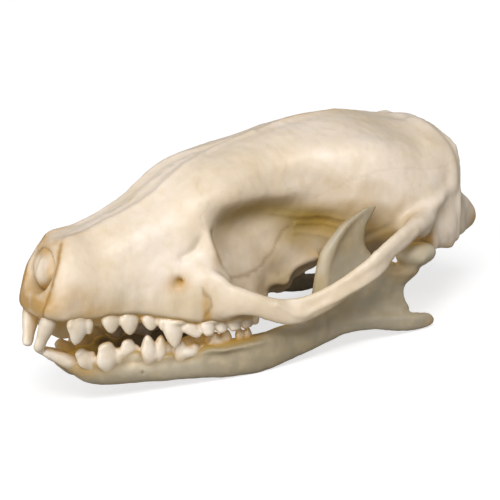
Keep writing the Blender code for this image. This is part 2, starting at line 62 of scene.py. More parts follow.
# Lines that run along the cranium, as (y, x, z), from the top midline round the left side to the
# palate.
TOP_LINE = [
    (1.2, 0, 14.4), (1.7, 0, 16.8), (2.7, 0, 18.9), (3.8, 0, 20.5), (5.7, 0, 21.2), (8.3, 0, 22.0),
    (11.6, 0, 23.1), (15, 0, 24.6), (18.4, 0, 26.7), (21, 0, 28.0), (25, 0, 28.9), (30, 0, 29.9),
    (36, 0, 30.9), (42, 0, 31.3), (46, 0, 30.8), (50.5, 0, 29.5), (53.3, 0, 28.4), (54.6, 0, 25.8),
    (56.6, 0, 21.2), (58.6, 0, 18.6),
]
SHOULDER_LINE = [
    (1.2, 1.8, 14.3), (2.7, 2.4, 18.5), (3.8, 2.4, 20.2), (8.3, 2.1, 21.8), (12, 2.2, 23.0),
    (16, 3.0, 24.8), (19, 4.1, 26.5), (22, 4.7, 27.6), (26, 4.2, 28.6), (30, 3.0, 29.6),
    (36, 3.8, 30.4), (42, 5.0, 30.5), (48, 5.4, 29.2), (53.3, 5.9, 27.6), (57, 3.0, 20.7),
    (58.6, 2.0, 18.3),
]
UPPER_LINE = [
    (1.2, 3.3, 13.9), (2.7, 4.5, 17.2), (3.8, 4.6, 18.4), (8.3, 4.6, 19.8), (12, 5.1, 21.2),
    (16, 6.1, 22.7), (19, 7.1, 24.0), (22, 7.7, 25.0), (26, 7.5, 26.0), (30, 6.9, 26.9),
    (34, 7.6, 27.7), (38, 9.0, 28.2), (42, 10.1, 28.0), (48, 10.3, 26.4), (53.3, 9.5, 25.0),
    (57, 5.4, 19.6), (58.6, 3.2, 17.6),
]
SIDE_LINE = [
    (1.2, 4.0, 13.6), (2.7, 5.3, 15.2), (5, 5.8, 15.6), (8.3, 6.1, 16.5), (12, 6.8, 17.2), (16, 7.9, 17.8),
    (18.6, 8.6, 18.6), (20.3, 8.8, 19.0), (21.8, 7.4, 19.6), (23.6, 6.2, 19.9), (26, ORBIT_WALL, 20.2),
    (30, ORBIT_WALL, 21.0), (34, 6.9, 22.2), (38, 9.6, 23.0), (42, 11.4, 22.8), (46, BRAINCASE_HALF, 22.0),
    (50, 11.9, 20.9), (53.3, 10.2, 19.5), (57, 6.0, 17.4), (58.6, 3.7, 16.4),
]
LOWER_LINE = [
    (1.2, 3.8, 13.1), (2.7, 5.2, 13.5), (5, 5.6, 13.4), (8.3, 6.0, 13.8), (12, 6.9, 13.9),
    (16, 8.5, 13.9), (19, 9.7, 14.0), (21, 10.2, 14.0), (23, 9.9, 13.3), (26, 8.9, 12.6),
    (29, 6.2, 13.4), (31.5, 4.6, 15.2), (35, 5.4, 17.0), (38, 7.8, 18.2), (42, 10.6, 18.4),
    (46, 11.4, 17.8), (50, 10.9, 17.0), (53.3, 9.4, 16.2), (57, 5.8, 15.2), (58.6, 3.6, 15.3),
]
TOOTH_LINE = [
    (1.2, 3.3, 12.7), (2.7, 4.8, 12.6), (5, 5.4, 12.2), (8.3, 5.9, 12.4), (12, 6.7, 12.1), (16, 8.4, 11.1),
    (19, 9.5, 10.6), (22, 10.1, 10.3), (25, 10.0, 10.3), (27.6, 8.0, 10.9), (30.5, 4.6, 12.6),
    (34, 4.3, 13.9), (38, 5.4, 14.8), (42, 7.4, 15.0), (46, 8.0, 14.5), (50, 8.0, 14.4),
    (53.3, 7.2, 14.9), (57, 4.6, 14.8), (58.6, 2.8, 15.0),
]
PALATE_EDGE = [
    (1.2, 1.9, 12.4), (2.7, 3.0, 12.1), (5, 3.6, 12.0), (8.3, 3.9, 12.2), (12, 4.4, 12.1), (16, 5.2, 11.5),
    (22, 6.2, 11.1), (28, 4.8, 11.4), (31, 2.6, 12.6), (34, 2.4, 13.8), (38, 3.0, 14.4), (46, 4.2, 13.9),
    (53.3, 4.0, 14.3), (57, 2.8, 14.6), (58.6, 1.6, 14.9),
]
PALATE_MIDLINE = [
    (1.2, 0, 12.3), (5, 0, 12.5), (16, 0, 12.7), (28, 0, 12.2), (30.5, 0, 12.6), (32.5, 0, 14.2),
    (38, 0, 14.6), (46, 0, 14.0), (53.3, 0, 14.2), (57, 0, 14.7), (58.6, 0, 15.0),
]
CROWDED = [(SNOUT_Y, 2.0, 1.0), (21.2, 2.0, 0.8), (OCCIPUT_Y, 2.5, 0.9)]  # place, reach and extra share
CRANIUM_LINES = [
    TOP_LINE, SHOULDER_LINE, UPPER_LINE, SIDE_LINE, LOWER_LINE, TOOTH_LINE, PALATE_EDGE, PALATE_MIDLINE,
]

# Bars of bone, as (x, y, z, half height, half thickness) along their middle.
CHEEK_ARCH = [
    (8.2, 17.6, 13.6, 2.2, 0.9), (9.6, 19.6, 13.8, 3.0, 1.0), (11.0, 21.1, 13.1, 2.3, 1.0),
    (12.1, 22.4, 13.0, 1.8, 0.95), (13.0, 24.0, 12.5, 1.5, 0.9), (13.6, 25.4, 11.9, 1.5, 0.85),
    (14.2, 27.4, 11.4, 1.75, ARCH_THICK), (15.2, 30.0, 11.9, 1.55, ARCH_THICK),
    (16.0, 32.0, 12.8, 1.45, ARCH_THICK), (16.7, 34.8, 14.3, 1.4, ARCH_THICK),
    (ARCH_HALF, 37.4, 15.8, 1.45, ARCH_THICK), (16.6, 40.0, 17.5, 1.3, 0.8), (16.0, 42.0, 18.3, 1.3, 0.9),
    (14.9, 44.2, 19.1, 1.1, 1.2), (13.3, 46.2, 19.4, 1.1, 1.6), (11.0, 47.6, 19.3, 1.2, 1.8),
    (9.4, 48.4, 19.2, 1.1, 1.7),
]


def smooth(stations, at):
    """Values of a smooth curve through stations (t, values...), read at the given t."""
    table = np.array(stations, float)
    t, values = table[:, 0], table[:, 1:]
    gap = np.diff(t)[:, None]
    slope = np.diff(values, axis=0) / gap
    inner = (gap[1:] * slope[:-1] + gap[:-1] * slope[1:]) / (gap[1:] + gap[:-1])
    tangent = np.vstack([slope[:1], inner, slope[-1:]])
    at = np.clip(np.atleast_1d(at), t[0], t[-1])
    i = np.clip(np.searchsorted(t, at, side="right") - 1, 0, len(t) - 2)
    h = gap[i]
    s = (at - t[i])[:, None] / h
    return (
        (1 + 2 * s) * (1 - s) ** 2 * values[i]
        + s * (1 - s) ** 2 * h * tangent[i]
        + s * s * (3 - 2 * s) * values[i + 1]
        + s * s * (s - 1) * h * tangent[i + 1]
    )


def along(points):
    """Each point with its distance along the line put before it, as smooth() takes them."""
    points = np.array(points, float)
    steps = np.linalg.norm(np.diff(points[:, :3], axis=0), axis=1)
    return np.column_stack([np.concatenate([[0], np.cumsum(steps)]), points])


def loft(rings):
    """(points, faces) of a closed skin through rings of points, with a fan over each end."""
    rings = np.asarray(rings, float)
    count, sides = rings.shape[:2]
    points = np.vstack([rings.reshape(-1, 3), rings[0].mean(0), rings[-1].mean(0)])
    j = np.arange(sides)
    k = (j + 1) % sides
    faces = []
    for low in range(0, (count - 1) * sides, sides):
        faces += np.column_stack([low + j, low + k, low + sides + k, low + sides + j]).tolist()
    last = (count - 1) * sides
    faces += np.column_stack([np.full(sides, last + sides), k, j]).tolist()
    faces += np.column_stack([np.full(sides, last + sides + 1), last + j, last + k]).tolist()
    return points, faces


def bar(stations, step, sides=10, up=(0, 0, 1), away_from=None):
    """A bar swept along stations (x, y, z, half height, half thickness), its height along up.
    With away_from, its height points away from that point instead."""
    line = along(stations)
    count = max(3, int(math.ceil(line[-1, 0] / step)) + 1)
    at = np.linspace(0, line[-1, 0], count)
    path = smooth(line, at)
    middle = path[:, :3]
    tangent = np.gradient(middle, at, axis=0)
    tangent /= np.linalg.norm(tangent, axis=1)[:, None]
    high = np.tile(np.array(up, float), (count, 1))
    if away_from is not None:
        high = middle - np.array(away_from, float)
    high -= (high * tangent).sum(1)[:, None] * tangent
    high /= np.linalg.norm(high, axis=1)[:, None]
    wide = np.cross(tangent, high)
    angle = np.arange(sides) * math.tau / sides
    rings = (
        middle[:, None]
        + high[:, None] * (path[:, 3:4] * np.cos(angle))[..., None]
        + wide[:, None] * (path[:, 4:5] * np.sin(angle))[..., None]
    )
    return loft(rings)


def ball(centre, radii, rings=8, sides=12, turn=None):
    """An ellipsoid, its poles along z, turned by a rotation matrix if one is given."""
    rise = np.linspace(0, math.pi, rings + 1)[1:-1]
    angle = np.arange(sides) * math.tau / sides
    shape = np.stack(
        [
            np.sin(rise)[:, None] * np.cos(angle),
            np.sin(rise)[:, None] * np.sin(angle),
            np.cos(rise)[:, None] + 0 * angle,
        ],
        axis=-1,
    ) * np.array(radii, float)
    points, faces = loft(shape)
    points[-2:] = [(0, 0, radii[2]), (0, 0, -radii[2])]
    if turn is not None:
        points = points @ np.array(turn).T
    return points + np.array(centre, float), faces


def mirrored(shape):
    """The same shape on the animal's right side."""
    points, faces = shape
    return points * (-1, 1, 1), [face[::-1] for face in faces]


def both_sides(shapes):
    return [one for shape in shapes for one in (shape, mirrored(shape))]


def cranium_core(step, per_span):
    """The braincase, face and palate as one skin through the cranium's lines."""
    # Stations are closer together at the snout, the orbit's front edge and the occiput.
    fine = np.linspace(SNOUT_Y, OCCIPUT_Y, 2000)
    crowd = 0.8 + sum(more * np.exp(-(((fine - place) / reach) ** 2)) for place, reach, more in CROWDED)
    total = np.concatenate([[0], np.cumsum((crowd[1:] + crowd[:-1]) / 2)]) * (fine[1] - fine[0])
    y = np.interp(np.linspace(0, total[-1], int(total[-1] / step) + 1), total, fine)
    lines = np.stack([smooth(line, y) for line in CRANIUM_LINES], axis=1)
    span = np.linspace(0, 1, per_span, endpoint=False)
    rings = []
    for place, half in zip(y, lines):
        right = half[-2:0:-1] * (-1, 1)
        around = np.vstack([half, right, half[:1]])
        wrapped = np.vstack([around[-2], around, around[1]])
        chord = np.linalg.norm(np.diff(wrapped, axis=0), axis=1) ** 0.5
        t = np.concatenate([[0], np.cumsum(chord)])
        at = [t[i] + span * (t[i + 1] - t[i]) for i in range(1, len(half))]
        at = np.concatenate([*at, [t[len(half)]]])
        left = smooth(np.column_stack([t, wrapped]), at)
        outline = np.vstack([left, left[-2:0:-1] * (-1, 1)])
        rings.append(np.column_stack([outline[:, 0], np.full(len(outline), place), outline[:, 1]]))
    return loft(rings)


# Ridges and knobs of the cranium's left side, as bars like the cheek arch.
NECK_CREST = [
    (-0.7, 52.6, 29.0, 1.0, 0.8), (2.4, 52.7, 28.8, 0.9, 0.6), (4.4, 53.0, 28.4, 0.9, 0.55),
    (6.3, 53.6, 27.5, 0.9, 0.5), (7.9, 54.0, 26.3, 0.95, 0.5), (8.9, 53.8, 24.8, 0.9, 0.5),
    (9.8, 53.3, 23.0, 0.85, 0.55), (10.2, 52.9, 20.5, 0.9, 0.7), (10.2, 52.7, 18.0, 0.9, 0.8),
    (10.0, 52.5, 15.4, 0.7, 0.7),
]
EAR_RIDGE = [
    (9.6, 53.0, 23.2, 0.7, 0.6), (10.9, 51.2, 22.2, 0.8, 0.7), (12.0, 49.4, 21.1, 0.8, 0.8),
    (12.7, 47.6, 20.3, 0.8, 0.9), (13.4, 45.8, 19.8, 0.7, 0.9),
]
PTERYGOID = [
    (4.4, 28.6, 12.9, 1.2, 0.7), (4.2, 30.6, 12.4, 1.4, 0.5), (4.0, 32.2, 12.2, 1.4, 0.45),
    (3.8, 33.6, 13.5, 1.0, 0.4), (3.8, 36.4, 14.8, 1.0, 0.5),
]
TOP_CREST = [
    (0, 27.5, 28.9, 0.5, 0.5), (0, 32, 30.1, 0.6, 0.5), (0, 37, 31.0, 0.65, 0.5), (0, 42, 31.1, 0.65, 0.5),
    (0, 47, 30.2, 0.7, 0.5), (0, 52.4, 28.9, 0.9, 0.7),
]
POST_GLENOID = [(11.4, 48.2, 18.6, 0.9, 1.5), (11.7, 48.5, 16.6, 0.75, 1.2), (11.8, 48.7, 15.1, 0.5, 0.8)]
GLENOID = ((12.2, 45.6, 18.4), (2.7, 2.1, 1.35))  # centre and radii
OCCIPITAL_CONDYLE = [
    (6.9, 53.8, 21.6, 1.2, 1.0), (6.0, 55.4, 19.9, 1.3, 1.2), (4.9, 57.2, 18.1, 1.3, 1.2),
    (4.3, 58.4, 16.7, 1.2, 1.1), (3.9, 58.2, 15.6, 0.9, 0.9),
]
MASTOID = [
    (10.0, 51.6, 22.4, 1.2, 0.9), (10.5, 51.4, 19.6, 1.5, 1.1), (10.6, 51.3, 16.9, 1.5, 1.2),
    (10.5, 51.2, 14.8, 1.0, 0.8),
]
# Cuts: the hollow of the nose, and the ends of the canal for the spinal cord and of the air passage.
NOSE_CUT = [
    (0, -1.2, 18.9, 3.4, 4.6), (0, 1.4, 18.0, 2.9, 3.9), (0, 3.2, 17.5, 2.6, 3.2), (0, 6, 17.3, 2.2, 2.2),
    (0, 9, 17.2, 1.2, 1.2),
]
CORD_CUT = ((0, 57.8, 17.2), (3.1, 4.6, 2.6))
AIR_CUT = ((0, 33.6, 13.6), (2.3, 4.6, 1.1))

# The left jaw bone's body, from the chin back to the angular process, as a bar.
JAW_BODY = [
    (1.2, 4.5, 6.3, 0.5, 0.8), (1.6, 5.7, 5.8, 0.95, 1.1), (2.4, 7.4, 5.1, 1.4, 1.25),
    (3.4, 9.4, 5.0, 1.5, 1.3), (4.5, 11.6, 4.95, 1.45, 1.2), (5.6, 14.4, 4.9, 1.45, 1.2),
    (7.0, 17.8, 4.9, 1.5, 1.25), (8.5, 21.6, 5.15, 1.8, 1.25), (9.7, 25.0, 5.75, 2.15, 1.2),
    (10.7, 28.6, 6.8, 2.2, 1.1), (11.4, 32.0, 7.6, 1.9, 0.95), (12.0, 36.0, 8.3, 1.4, 0.8),
    (12.5, 40.0, 8.0, 1.2, 0.75), (13.0, 43.6, 7.3, 1.2, 0.7), (13.3, 45.6, 7.2, 1.1, 0.6),
    (13.45, 46.8, 7.1, 0.85, 0.5), (13.5, 47.4, 7.0, 0.35, 0.3),
]
# The ramus in level slices: z, front edge and back edge (y), half thickness at front, middle and back.
RAMUS = [
    (7.0, 29.5, 44.0, 0.8, 0.5, 0.5), (9.0, 30.4, 44.4, 0.85, 0.45, 0.5),
    (10.6, 31.2, 43.7, 0.9, 0.42, 0.5), (12.0, 31.9, 44.0, 0.9, 0.42, 0.55),
    (13.4, 32.3, 44.4, 0.9, 0.42, 0.6), (14.6, 32.5, 43.2, 0.85, 0.42, 0.5),
    (15.6, 32.8, 40.6, 0.8, 0.42, 0.4), (17.0, 33.3, 39.3, 0.75, 0.42, 0.35),
    (18.3, 34.3, 39.1, 0.7, 0.42, 0.35), (19.6, 35.4, 39.5, 0.6, 0.4, 0.35),
    (20.6, 36.8, 40.1, 0.5, 0.38, 0.32), (21.3, 38.3, 40.8, 0.4, 0.34, 0.3),
    (21.9, 39.6, 40.9, 0.25, 0.25, 0.2),
]
RAMUS_LEAN = [(28, 10.8), (32, 11.5), (36, 11.9), (40, 12.2), (44, 12.7), (48, 13.3)]
CONDYLE_NECK = [
    (12.3, 41.2, 10.8, 0.9, 0.6), (12.6, 42.8, 12.4, 1.2, 0.8), (12.9, 44.2, 13.8, 1.3, 1.2),
    (13.1, 44.9, 15.0, 1.1, 1.5),
]
CONDYLE_HEAD = ((13.1, 45.3, 15.2), (2.1, 1.55, 1.2))
CHIN = ((1.1, 7.0, 5.8), (1.1, 2.4, 0.95))


def cranium_shapes(step, per_span, bar_step, sides):
    """Closed skins that join into the cranium's bone, and those that are cut from it."""
    parts = [cranium_core(step, per_span)]
    left = [
        bar(CHEEK_ARCH, bar_step, sides),
        bar(NECK_CREST, bar_step, 6, away_from=(0, 45, 19)),
        bar(EAR_RIDGE, bar_step, 6),
        bar(PTERYGOID, bar_step, 6),
        bar(POST_GLENOID, bar_step, 6, up=(0, 1, 0)),
        ball(*GLENOID),
        bar(OCCIPITAL_CONDYLE, 1.2, 8, up=(0, 1, 0)),
        bar(MASTOID, bar_step, 8, up=(0, 1, 0)),
    ]
    parts += both_sides(left)
    parts.append(bar(TOP_CREST, bar_step, 6))
    return parts, [ball(*CORD_CUT, 10, 16), bar(NOSE_CUT, 0.5, 32), ball(*AIR_CUT, 8, 12)]


def ramus(per_edge):
    """The upright plate of the left jaw bone, skinned over its level slices."""
    z = np.linspace(RAMUS[0][0], RAMUS[-1][0], len(RAMUS) + 3)
    slices = smooth(RAMUS, z)
    share = (1 - np.cos(np.linspace(0, math.pi, per_edge))) / 2
    rings = []
    for height, (front, back, thick_f, thick_m, thick_b) in zip(z, slices):
        y = front + (back - front) * share
        stations = [(0, thick_f), (0.12, thick_f), (0.4, thick_m), (0.8, thick_m), (1, thick_b)]
        half = smooth(stations, share)[:, 0]
        half = half * np.clip(np.sin(math.pi * np.clip(share, 0.02, 0.98)) * 4, 0, 1) ** 0.5
        lean = smooth(RAMUS_LEAN, y)[:, 0]
        outer = np.column_stack([lean + half, y, np.full(per_edge, height)])
        inner = np.column_stack([lean - half, y, np.full(per_edge, height)])[::-1]
        rings.append(np.vstack([outer, inner]))
    return loft(rings)


def jaw_shapes(step, sides, per_edge):
    """Closed skins that join into the left jaw bone."""
    return [
        bar(JAW_BODY, step, sides),
        ramus(per_edge),
        bar(CONDYLE_NECK, step, 10, up=(0, 1, 0)),
        ball(*CONDYLE_HEAD),
        ball(*CHIN),
    ]


# Finenesses in millimetres, and a distance longer than any on the skull
BONE_GRAIN = 0.255  # cell of the cranium's fine skin
JAW_GRAIN = 0.17
TOOTH_GRAIN = 0.10
NOSE_GRAIN = 0.20
FAR = 1e9


# Skins


def heap(shapes):
    """Several closed skins as one (points, faces)."""
    points, faces, start = [], [], 0
    for some, rows in shapes:
        points.append(some)
        faces += [[corner + start for corner in row] for row in rows]
        start += len(some)
    return np.vstack(points), faces


def plain_object(name, shape):
    points, faces = shape
    mesh = bpy.data.meshes.new(name)
    mesh.from_pydata(points.tolist(), [], faces)
    solid = bmesh.new()
    solid.from_mesh(mesh)
    bmesh.ops.recalc_face_normals(solid, faces=solid.faces[:])
    solid.to_mesh(mesh)
    solid.free()
    made = bpy.data.objects.new(name, mesh)
    bpy.context.scene.collection.objects.link(made)
    return made


def fused(name, shapes, grain, cuts=()):
    """One even skin of small quads over all the shapes, with the cuts taken out of it: (points, quads)."""
    body = plain_object(name, heap(shapes))
    tools = [plain_object(f"{name}_cut_{number}", cut) for number, cut in enumerate(cuts)]

    def even():
        skin = body.modifiers.new("even", "REMESH")
        skin.mode = "VOXEL"
        skin.voxel_size = grain
        skin.adaptivity = 0

    even()
    for tool in tools:
        cut = body.modifiers.new("cut", "BOOLEAN")
        cut.operation = "DIFFERENCE"
        cut.solver = "MANIFOLD"
        cut.object = tool
    if tools:
        even()
    bpy.context.view_layer.update()
    seen = body.evaluated_get(bpy.context.evaluated_depsgraph_get())
    mesh = bpy.data.meshes.new_from_object(seen)
    points = np.empty(len(mesh.vertices) * 3)
    mesh.vertices.foreach_get("co", points)
    quads = np.empty(len(mesh.loops), int)
    mesh.loops.foreach_get("vertex_index", quads)
    bpy.data.meshes.remove(mesh)
    for used in [body, *tools]:
        data = used.data
        bpy.data.objects.remove(used)
        bpy.data.meshes.remove(data)
    return points.reshape(-1, 3), quads.reshape(-1, 4)


def edges_of(quads):
    pairs = np.vstack([quads[:, [0, 1]], quads[:, [1, 2]], quads[:, [2, 3]], quads[:, [3, 0]]])
    return np.unique(np.sort(pairs, axis=1), axis=0)


def neighbour_mean(values, edges):
    """Each corner's mean over its neighbours, of one or several columns."""
    values = np.asarray(values, float)
    columns = values.reshape(len(values), -1)
    count = np.bincount(edges.ravel(), minlength=len(values)).clip(1)
    out = np.empty_like(columns)
    for k in range(columns.shape[1]):
        total = np.bincount(edges[:, 0], columns[edges[:, 1], k], len(values))
        total += np.bincount(edges[:, 1], columns[edges[:, 0], k], len(values))
        out[:, k] = total / count
    return out.reshape(values.shape)


def relaxed(points, edges, passes, share=0.5):
    """Smoothed corners; share may be one number or one for each corner."""
    share = np.asarray(share, float)
    if share.ndim:
        share = share[:, None]
    for _ in range(passes):
        points = points + share * (neighbour_mean(points, edges) - points)
    return points


def normals_of(points, quads):
    across = points[quads[:, 2]] - points[quads[:, 0]]
    along_it = points[quads[:, 3]] - points[quads[:, 1]]
    face = np.cross(across, along_it)
    out = np.zeros_like(points)
    for k in range(3):
        for column in range(4):
            out[:, k] += np.bincount(quads[:, column], face[:, k], len(points))
    return out / np.linalg.norm(out, axis=1)[:, None].clip(1e-9)


def line_distance(points, line, count):
    """How far points are from a smooth line through stations, both in the same two or three axes."""
    stations = along(line)
    line = smooth(stations, np.linspace(0, stations[-1, 0], count))
    best = np.full(len(points), FAR)
    for a, b in zip(line[:-1], line[1:]):
        step = b - a
        share = np.clip(((points - a) @ step) / max(step @ step, 1e-12), 0, 1)
        best = np.minimum(best, np.linalg.norm(points - a - share[:, None] * step, axis=1))
    return best


def wave(points, size, seed):
    """A smooth random field, about -1 to 1, with lumps about size across."""
    draw = np.random.default_rng(seed)
    total = np.zeros(len(points))
    for _ in range(16):
        way = draw.normal(size=3)
        way *= math.tau / (size * draw.uniform(1.3, 2.6) * np.linalg.norm(way))
        total += np.sin(points @ way + draw.uniform(0, math.tau))
    return total / 4


def dab(points, centre, reach):
    """A soft spot: 1 at its centre and fading out over reach, one number or one for each axis."""
    return np.exp(-(((points - np.array(centre, float)) / reach) ** 2).sum(1))


def dabs(points, spots):
    """The sum of soft spots, each with a centre, reach and strength."""
    return sum(strength * dab(points, centre, reach) for centre, reach, strength in spots)


def seam(points, line, plane, width, wander=0.12):
    """How near each point is to a seam, from 1 on it to 0, the seam wandering as a suture does."""
    shaken = points.copy()
    for number, axis in enumerate(plane):
        shaken[:, axis] += wander * wave(points, 0.9, 40 + number)
    return np.exp(-((line_distance(shaken[:, plane], line, 60) / width) ** 2))


def trace(points, line, width):
    """How near each point is to a line through space, from 1 on it to 0."""
    return np.exp(-((line_distance(points, line, 24) / width) ** 2))


SIDE_ON = [1, 2]  # lines on the flanks, as (y, z)
FROM_ABOVE = [0, 1]  # lines on the roof, as (x, y)
FROM_BELOW = (0, 1)  # lines on the palate and the skull base, as (x, y)
FROM_BEHIND = [0, 2]  # lines on the occiput, as (x, z)

# Swellings and hollows of the cranium's left side: centre, reach and height, below 0 for a hollow.
CRANIUM_RELIEF = [
    ((6.2, 9.0, 14.6), (1.5, 1.3, 2.0), 0.20),  # over the canine's root
    ((6.9, 11.2, 13.8), (1.2, 0.6, 1.3), 0.12),  # over the premolars' roots
    ((7.3, 13.4, 13.6), (1.2, 0.6, 1.3), 0.12),
    ((8.2, 15.3, 13.0), (1.2, 0.6, 1.4), 0.15),
    ((9.2, 17.5, 12.4), (1.2, 0.5, 1.2), 0.12),
    ((7.4, 13.4, 18.6), (2.0, 3.8, 1.8), -0.25),  # in front of the orbit
    ((9.2, 18.0, 15.6), (1.5, 1.3, 1.8), 0.30),  # root of the cheek arch
    ((8.8, 19.0, 20.2), (1.1, 0.8, 1.4), -0.30),  # tear notch
    ((8.7, 20.4, 18.4), (0.9, 0.6, 1.8), 0.35),  # orbit's front rim
    ((7.4, 22.5, 24.6), (1.4, 3.0, 1.2), 0.25),  # brow
    ((7.4, 24.6, 23.9), (1.8, 2.2, 1.2), 0.40), ((6.8, 28.0, 24.3), (2.0, 2.6, 1.3), 0.65),
    ((6.6, 31.6, 23.9), (2.0, 2.6, 1.3), 0.50),
    ((6.5, 27.8, 21.1), (2.0, 3.6, 1.3), -0.60),  # under the brow
    ((6.3, 25.2, 20.5), (2.0, 2.6, 1.8), -0.30),
    ((5.6, 28.2, 15.4), (2.0, 2.6, 1.5), 0.25),  # palatine and alisphenoid
    ((7.2, 36.0, 19.2), (1.8, 2.4, 1.6), -0.65),  # recess behind the orbit
    ((9.5, 45.5, 26.0), (3.5, 4.5, 3.0), 0.30),
    ((9.6, 50.6, 24.6), (1.5, 1.1, 3.0), -0.10),
    ((1.3, 51.6, 29.6), (1.5, 1.0, 1.0), 0.35),
    ((5.5, 56.0, 20.8), (2.0, 1.4, 1.6), -0.25),
    ((7.8, 54.8, 17.2), (1.2, 1.0, 2.0), -0.60),  # between condyle and mastoid
    ((0.0, 55.6, 23.6), (0.5, 1.6, 3.0), 0.30),  # occiput's middle ridge
    ((2.6, 20.0, 11.4), (1.6, 2.6, 1.0), -0.25),  # palate
]
# Ridges above 0 and grooves below 0 of the left side: line, plane, width and height.
CRANIUM_LINES_RAISED = [
    ([(2.5, 5.0), (2.2, 8), (2.3, 12), (2.8, 17), (2.4, 21), (1.0, 25),
     (0.1, 31)], FROM_ABOVE, 0.55, 0.22),
    ([(1.1, 6.0), (1.0, 12), (1.1, 18), (0.6, 22)], FROM_ABOVE, 0.55, -0.10),
    ([(25.8, 12.5), (28.3, 11.0), (30.5, 11.9), (33.9, 13.2), (37.6, 14.7),
     (40.8, 16.4)], SIDE_ON, 0.30, 0.18),
    ([(27.0, 12.9), (29.0, 12.2), (32.0, 13.5), (36.0, 15.1), (40.0, 17.1),
     (43.4, 19.0)], SIDE_ON, 0.40, -0.10),
    ([(30.0, 21.4), (33.0, 20.7), (36.0, 20.2), (38.6, 19.8)], SIDE_ON, 0.25, 0.10),
    ([(33.4, 19.6), (36.0, 19.2), (39.0, 18.4)], SIDE_ON, 0.20, 0.10),
    ([(33.0, 18.5), (35.4, 18.1), (38.0, 17.3)], SIDE_ON, 0.20, 0.10),
]
# Ridges above 0 and grooves below 0 that bend through space: line, width, height and stain.
CRANIUM_TRACES = [
    ([(3.3, 51.6, 28.6), (5.6, 52.0, 27.7), (7.6, 52.3, 26.2), (9.0, 52.1, 24.2),
     (9.9, 51.8, 22.2)], 1.0, 0.50, 0.0),
    ([(2.6, 4.2, 21.0), (3.4, 3.4, 20.0), (3.7, 3.1, 19.0), (3.9, 2.5, 17.9),
     (4.0, 1.9, 16.7)], 0.32, -0.08, 1.2),
    ([(4.0, 1.9, 16.7), (4.0, 1.4, 15.5), (3.7, 0.9, 14.5), (3.3, 0.7, 13.2),
     (3.2, 0.9, 12.4)], 0.32, -0.08, 1.1),
    ([(8.5, 20.2, 20.6), (8.9, 20.6, 18.9), (9.0, 20.9, 17.2), (9.6, 22.2, 15.6)], 0.55, 0.30, 0.0),
    ([(8.0, 21.3, 20.4), (8.3, 21.8, 18.8), (8.4, 22.2, 17.2)], 0.45, -0.25, 0.5),
    ([(8.7, 19.7, 20.6), (8.8, 18.8, 19.6), (8.6, 17.8, 18.8), (8.4, 16.9, 18.4)], 0.50, -0.28, 0.0),
    ([(10.4, 52.6, 16.0), (10.6, 52.8, 18.5), (10.4, 53.0, 21.0)], 0.45, 0.20, 0.0),
]
# Sutures of the left side: line, plane, width, depth and darkness.
CRANIUM_SEAMS = [
    ([(0.0, 3.0), (0.05, 12), (-0.05, 23), (0.0, 32)], FROM_ABOVE, 0.09, 0.06, 0.20),
    ([(3.3, 19.9), (4.6, 20.2), (5.6, 21.2), (6.3, 19.0), (7.1, 17.9), (6.7, 14.8),
     (6.4, 12.6)], SIDE_ON, 0.10, 0.02, 0.06),
    ([(21.2, 27.0), (20.4, 25.6), (20.9, 24.0), (19.8, 22.6), (20.2, 20.8)], SIDE_ON, 0.10, 0.04, 0.10),
    ([(22.6, 15.3), (23.7, 15.1), (25.9, 15.0), (28.1, 15.6), (30.2, 17.1), (31.2, 18.6),
     (32.4, 19.4)], SIDE_ON, 0.2, 0.05, 0.38),
    ([(18.5, 14.8), (19.1, 13.4), (19.0, 12.1), (18.6, 10.2)], SIDE_ON, 0.14, 0.04, 0.40),
    ([(31.0, 29.6), (31.8, 27.6), (31.2, 25.4), (33.2, 23.2)], SIDE_ON, 0.10, 0.03, 0.08),
    ([(35.0, 22.6), (39.0, 24.8), (44.0, 25.6), (49.0, 24.8), (53.0, 25.2)], SIDE_ON, 0.10, 0.03, 0.08),
    ([(0.0, 2.0), (0.05, 12), (-0.05, 22), (0.0, 29)], FROM_BELOW, 0.09, 0.10, 0.35),
    ([(0.0, 20.4), (1.6, 20.2), (3.4, 21.6), (4.6, 25.0)], FROM_BELOW, 0.09, 0.08, 0.30),
    ([(0.0, 41.0), (2.0, 41.1), (3.6, 41.0)], FROM_BELOW, 0.12, 0.12, 0.35),
    ([(0.0, 47.6), (1.8, 47.7), (3.4, 47.4)], FROM_BELOW, 0.12, 0.12, 0.35),
    ([(0.0, 25.0), (2.6, 24.6), (4.4, 22.4), (6.4, 21.0)], FROM_BEHIND, 0.12, 0.08, 0.30),
]
# Pinholes for vessels and nerves: place and radius.
CRANIUM_PINHOLES = [
    ((6.0, 28.1, 19.2), 0.24), ((6.3, 32.8, 17.2), 0.22), ((6.3, 34.9, 16.4), 0.20),
    ((7.0, 22.7, 14.4), 0.18), ((6.4, 25.6, 14.8), 0.15), ((7.6, 16.4, 21.2), 0.13),
    ((6.2, 8.9, 17.8), 0.13), ((5.6, 6.3, 14.6), 0.16), ((3.0, 45.0, 30.9), 0.14),
    ((6.0, 50.2, 27.6), 0.14), ((8.5, 50.4, 24.4), 0.14), ((7.4, 55.2, 18.2), 0.30),
    ((3.0, 50.0, 14.0), 0.35), ((5.4, 46.4, 14.3), 0.50), ((3.4, 40.4, 14.8), 0.40),
    ((1.2, 10.0, 12.6), 0.35), ((6.2, 38.6, 16.4), 0.45), ((3.4, 26.4, 11.2), 0.25),
    ((5.0, 51.4, 13.9), 0.30), ((2.0, 57.4, 16.0), 0.25),
]
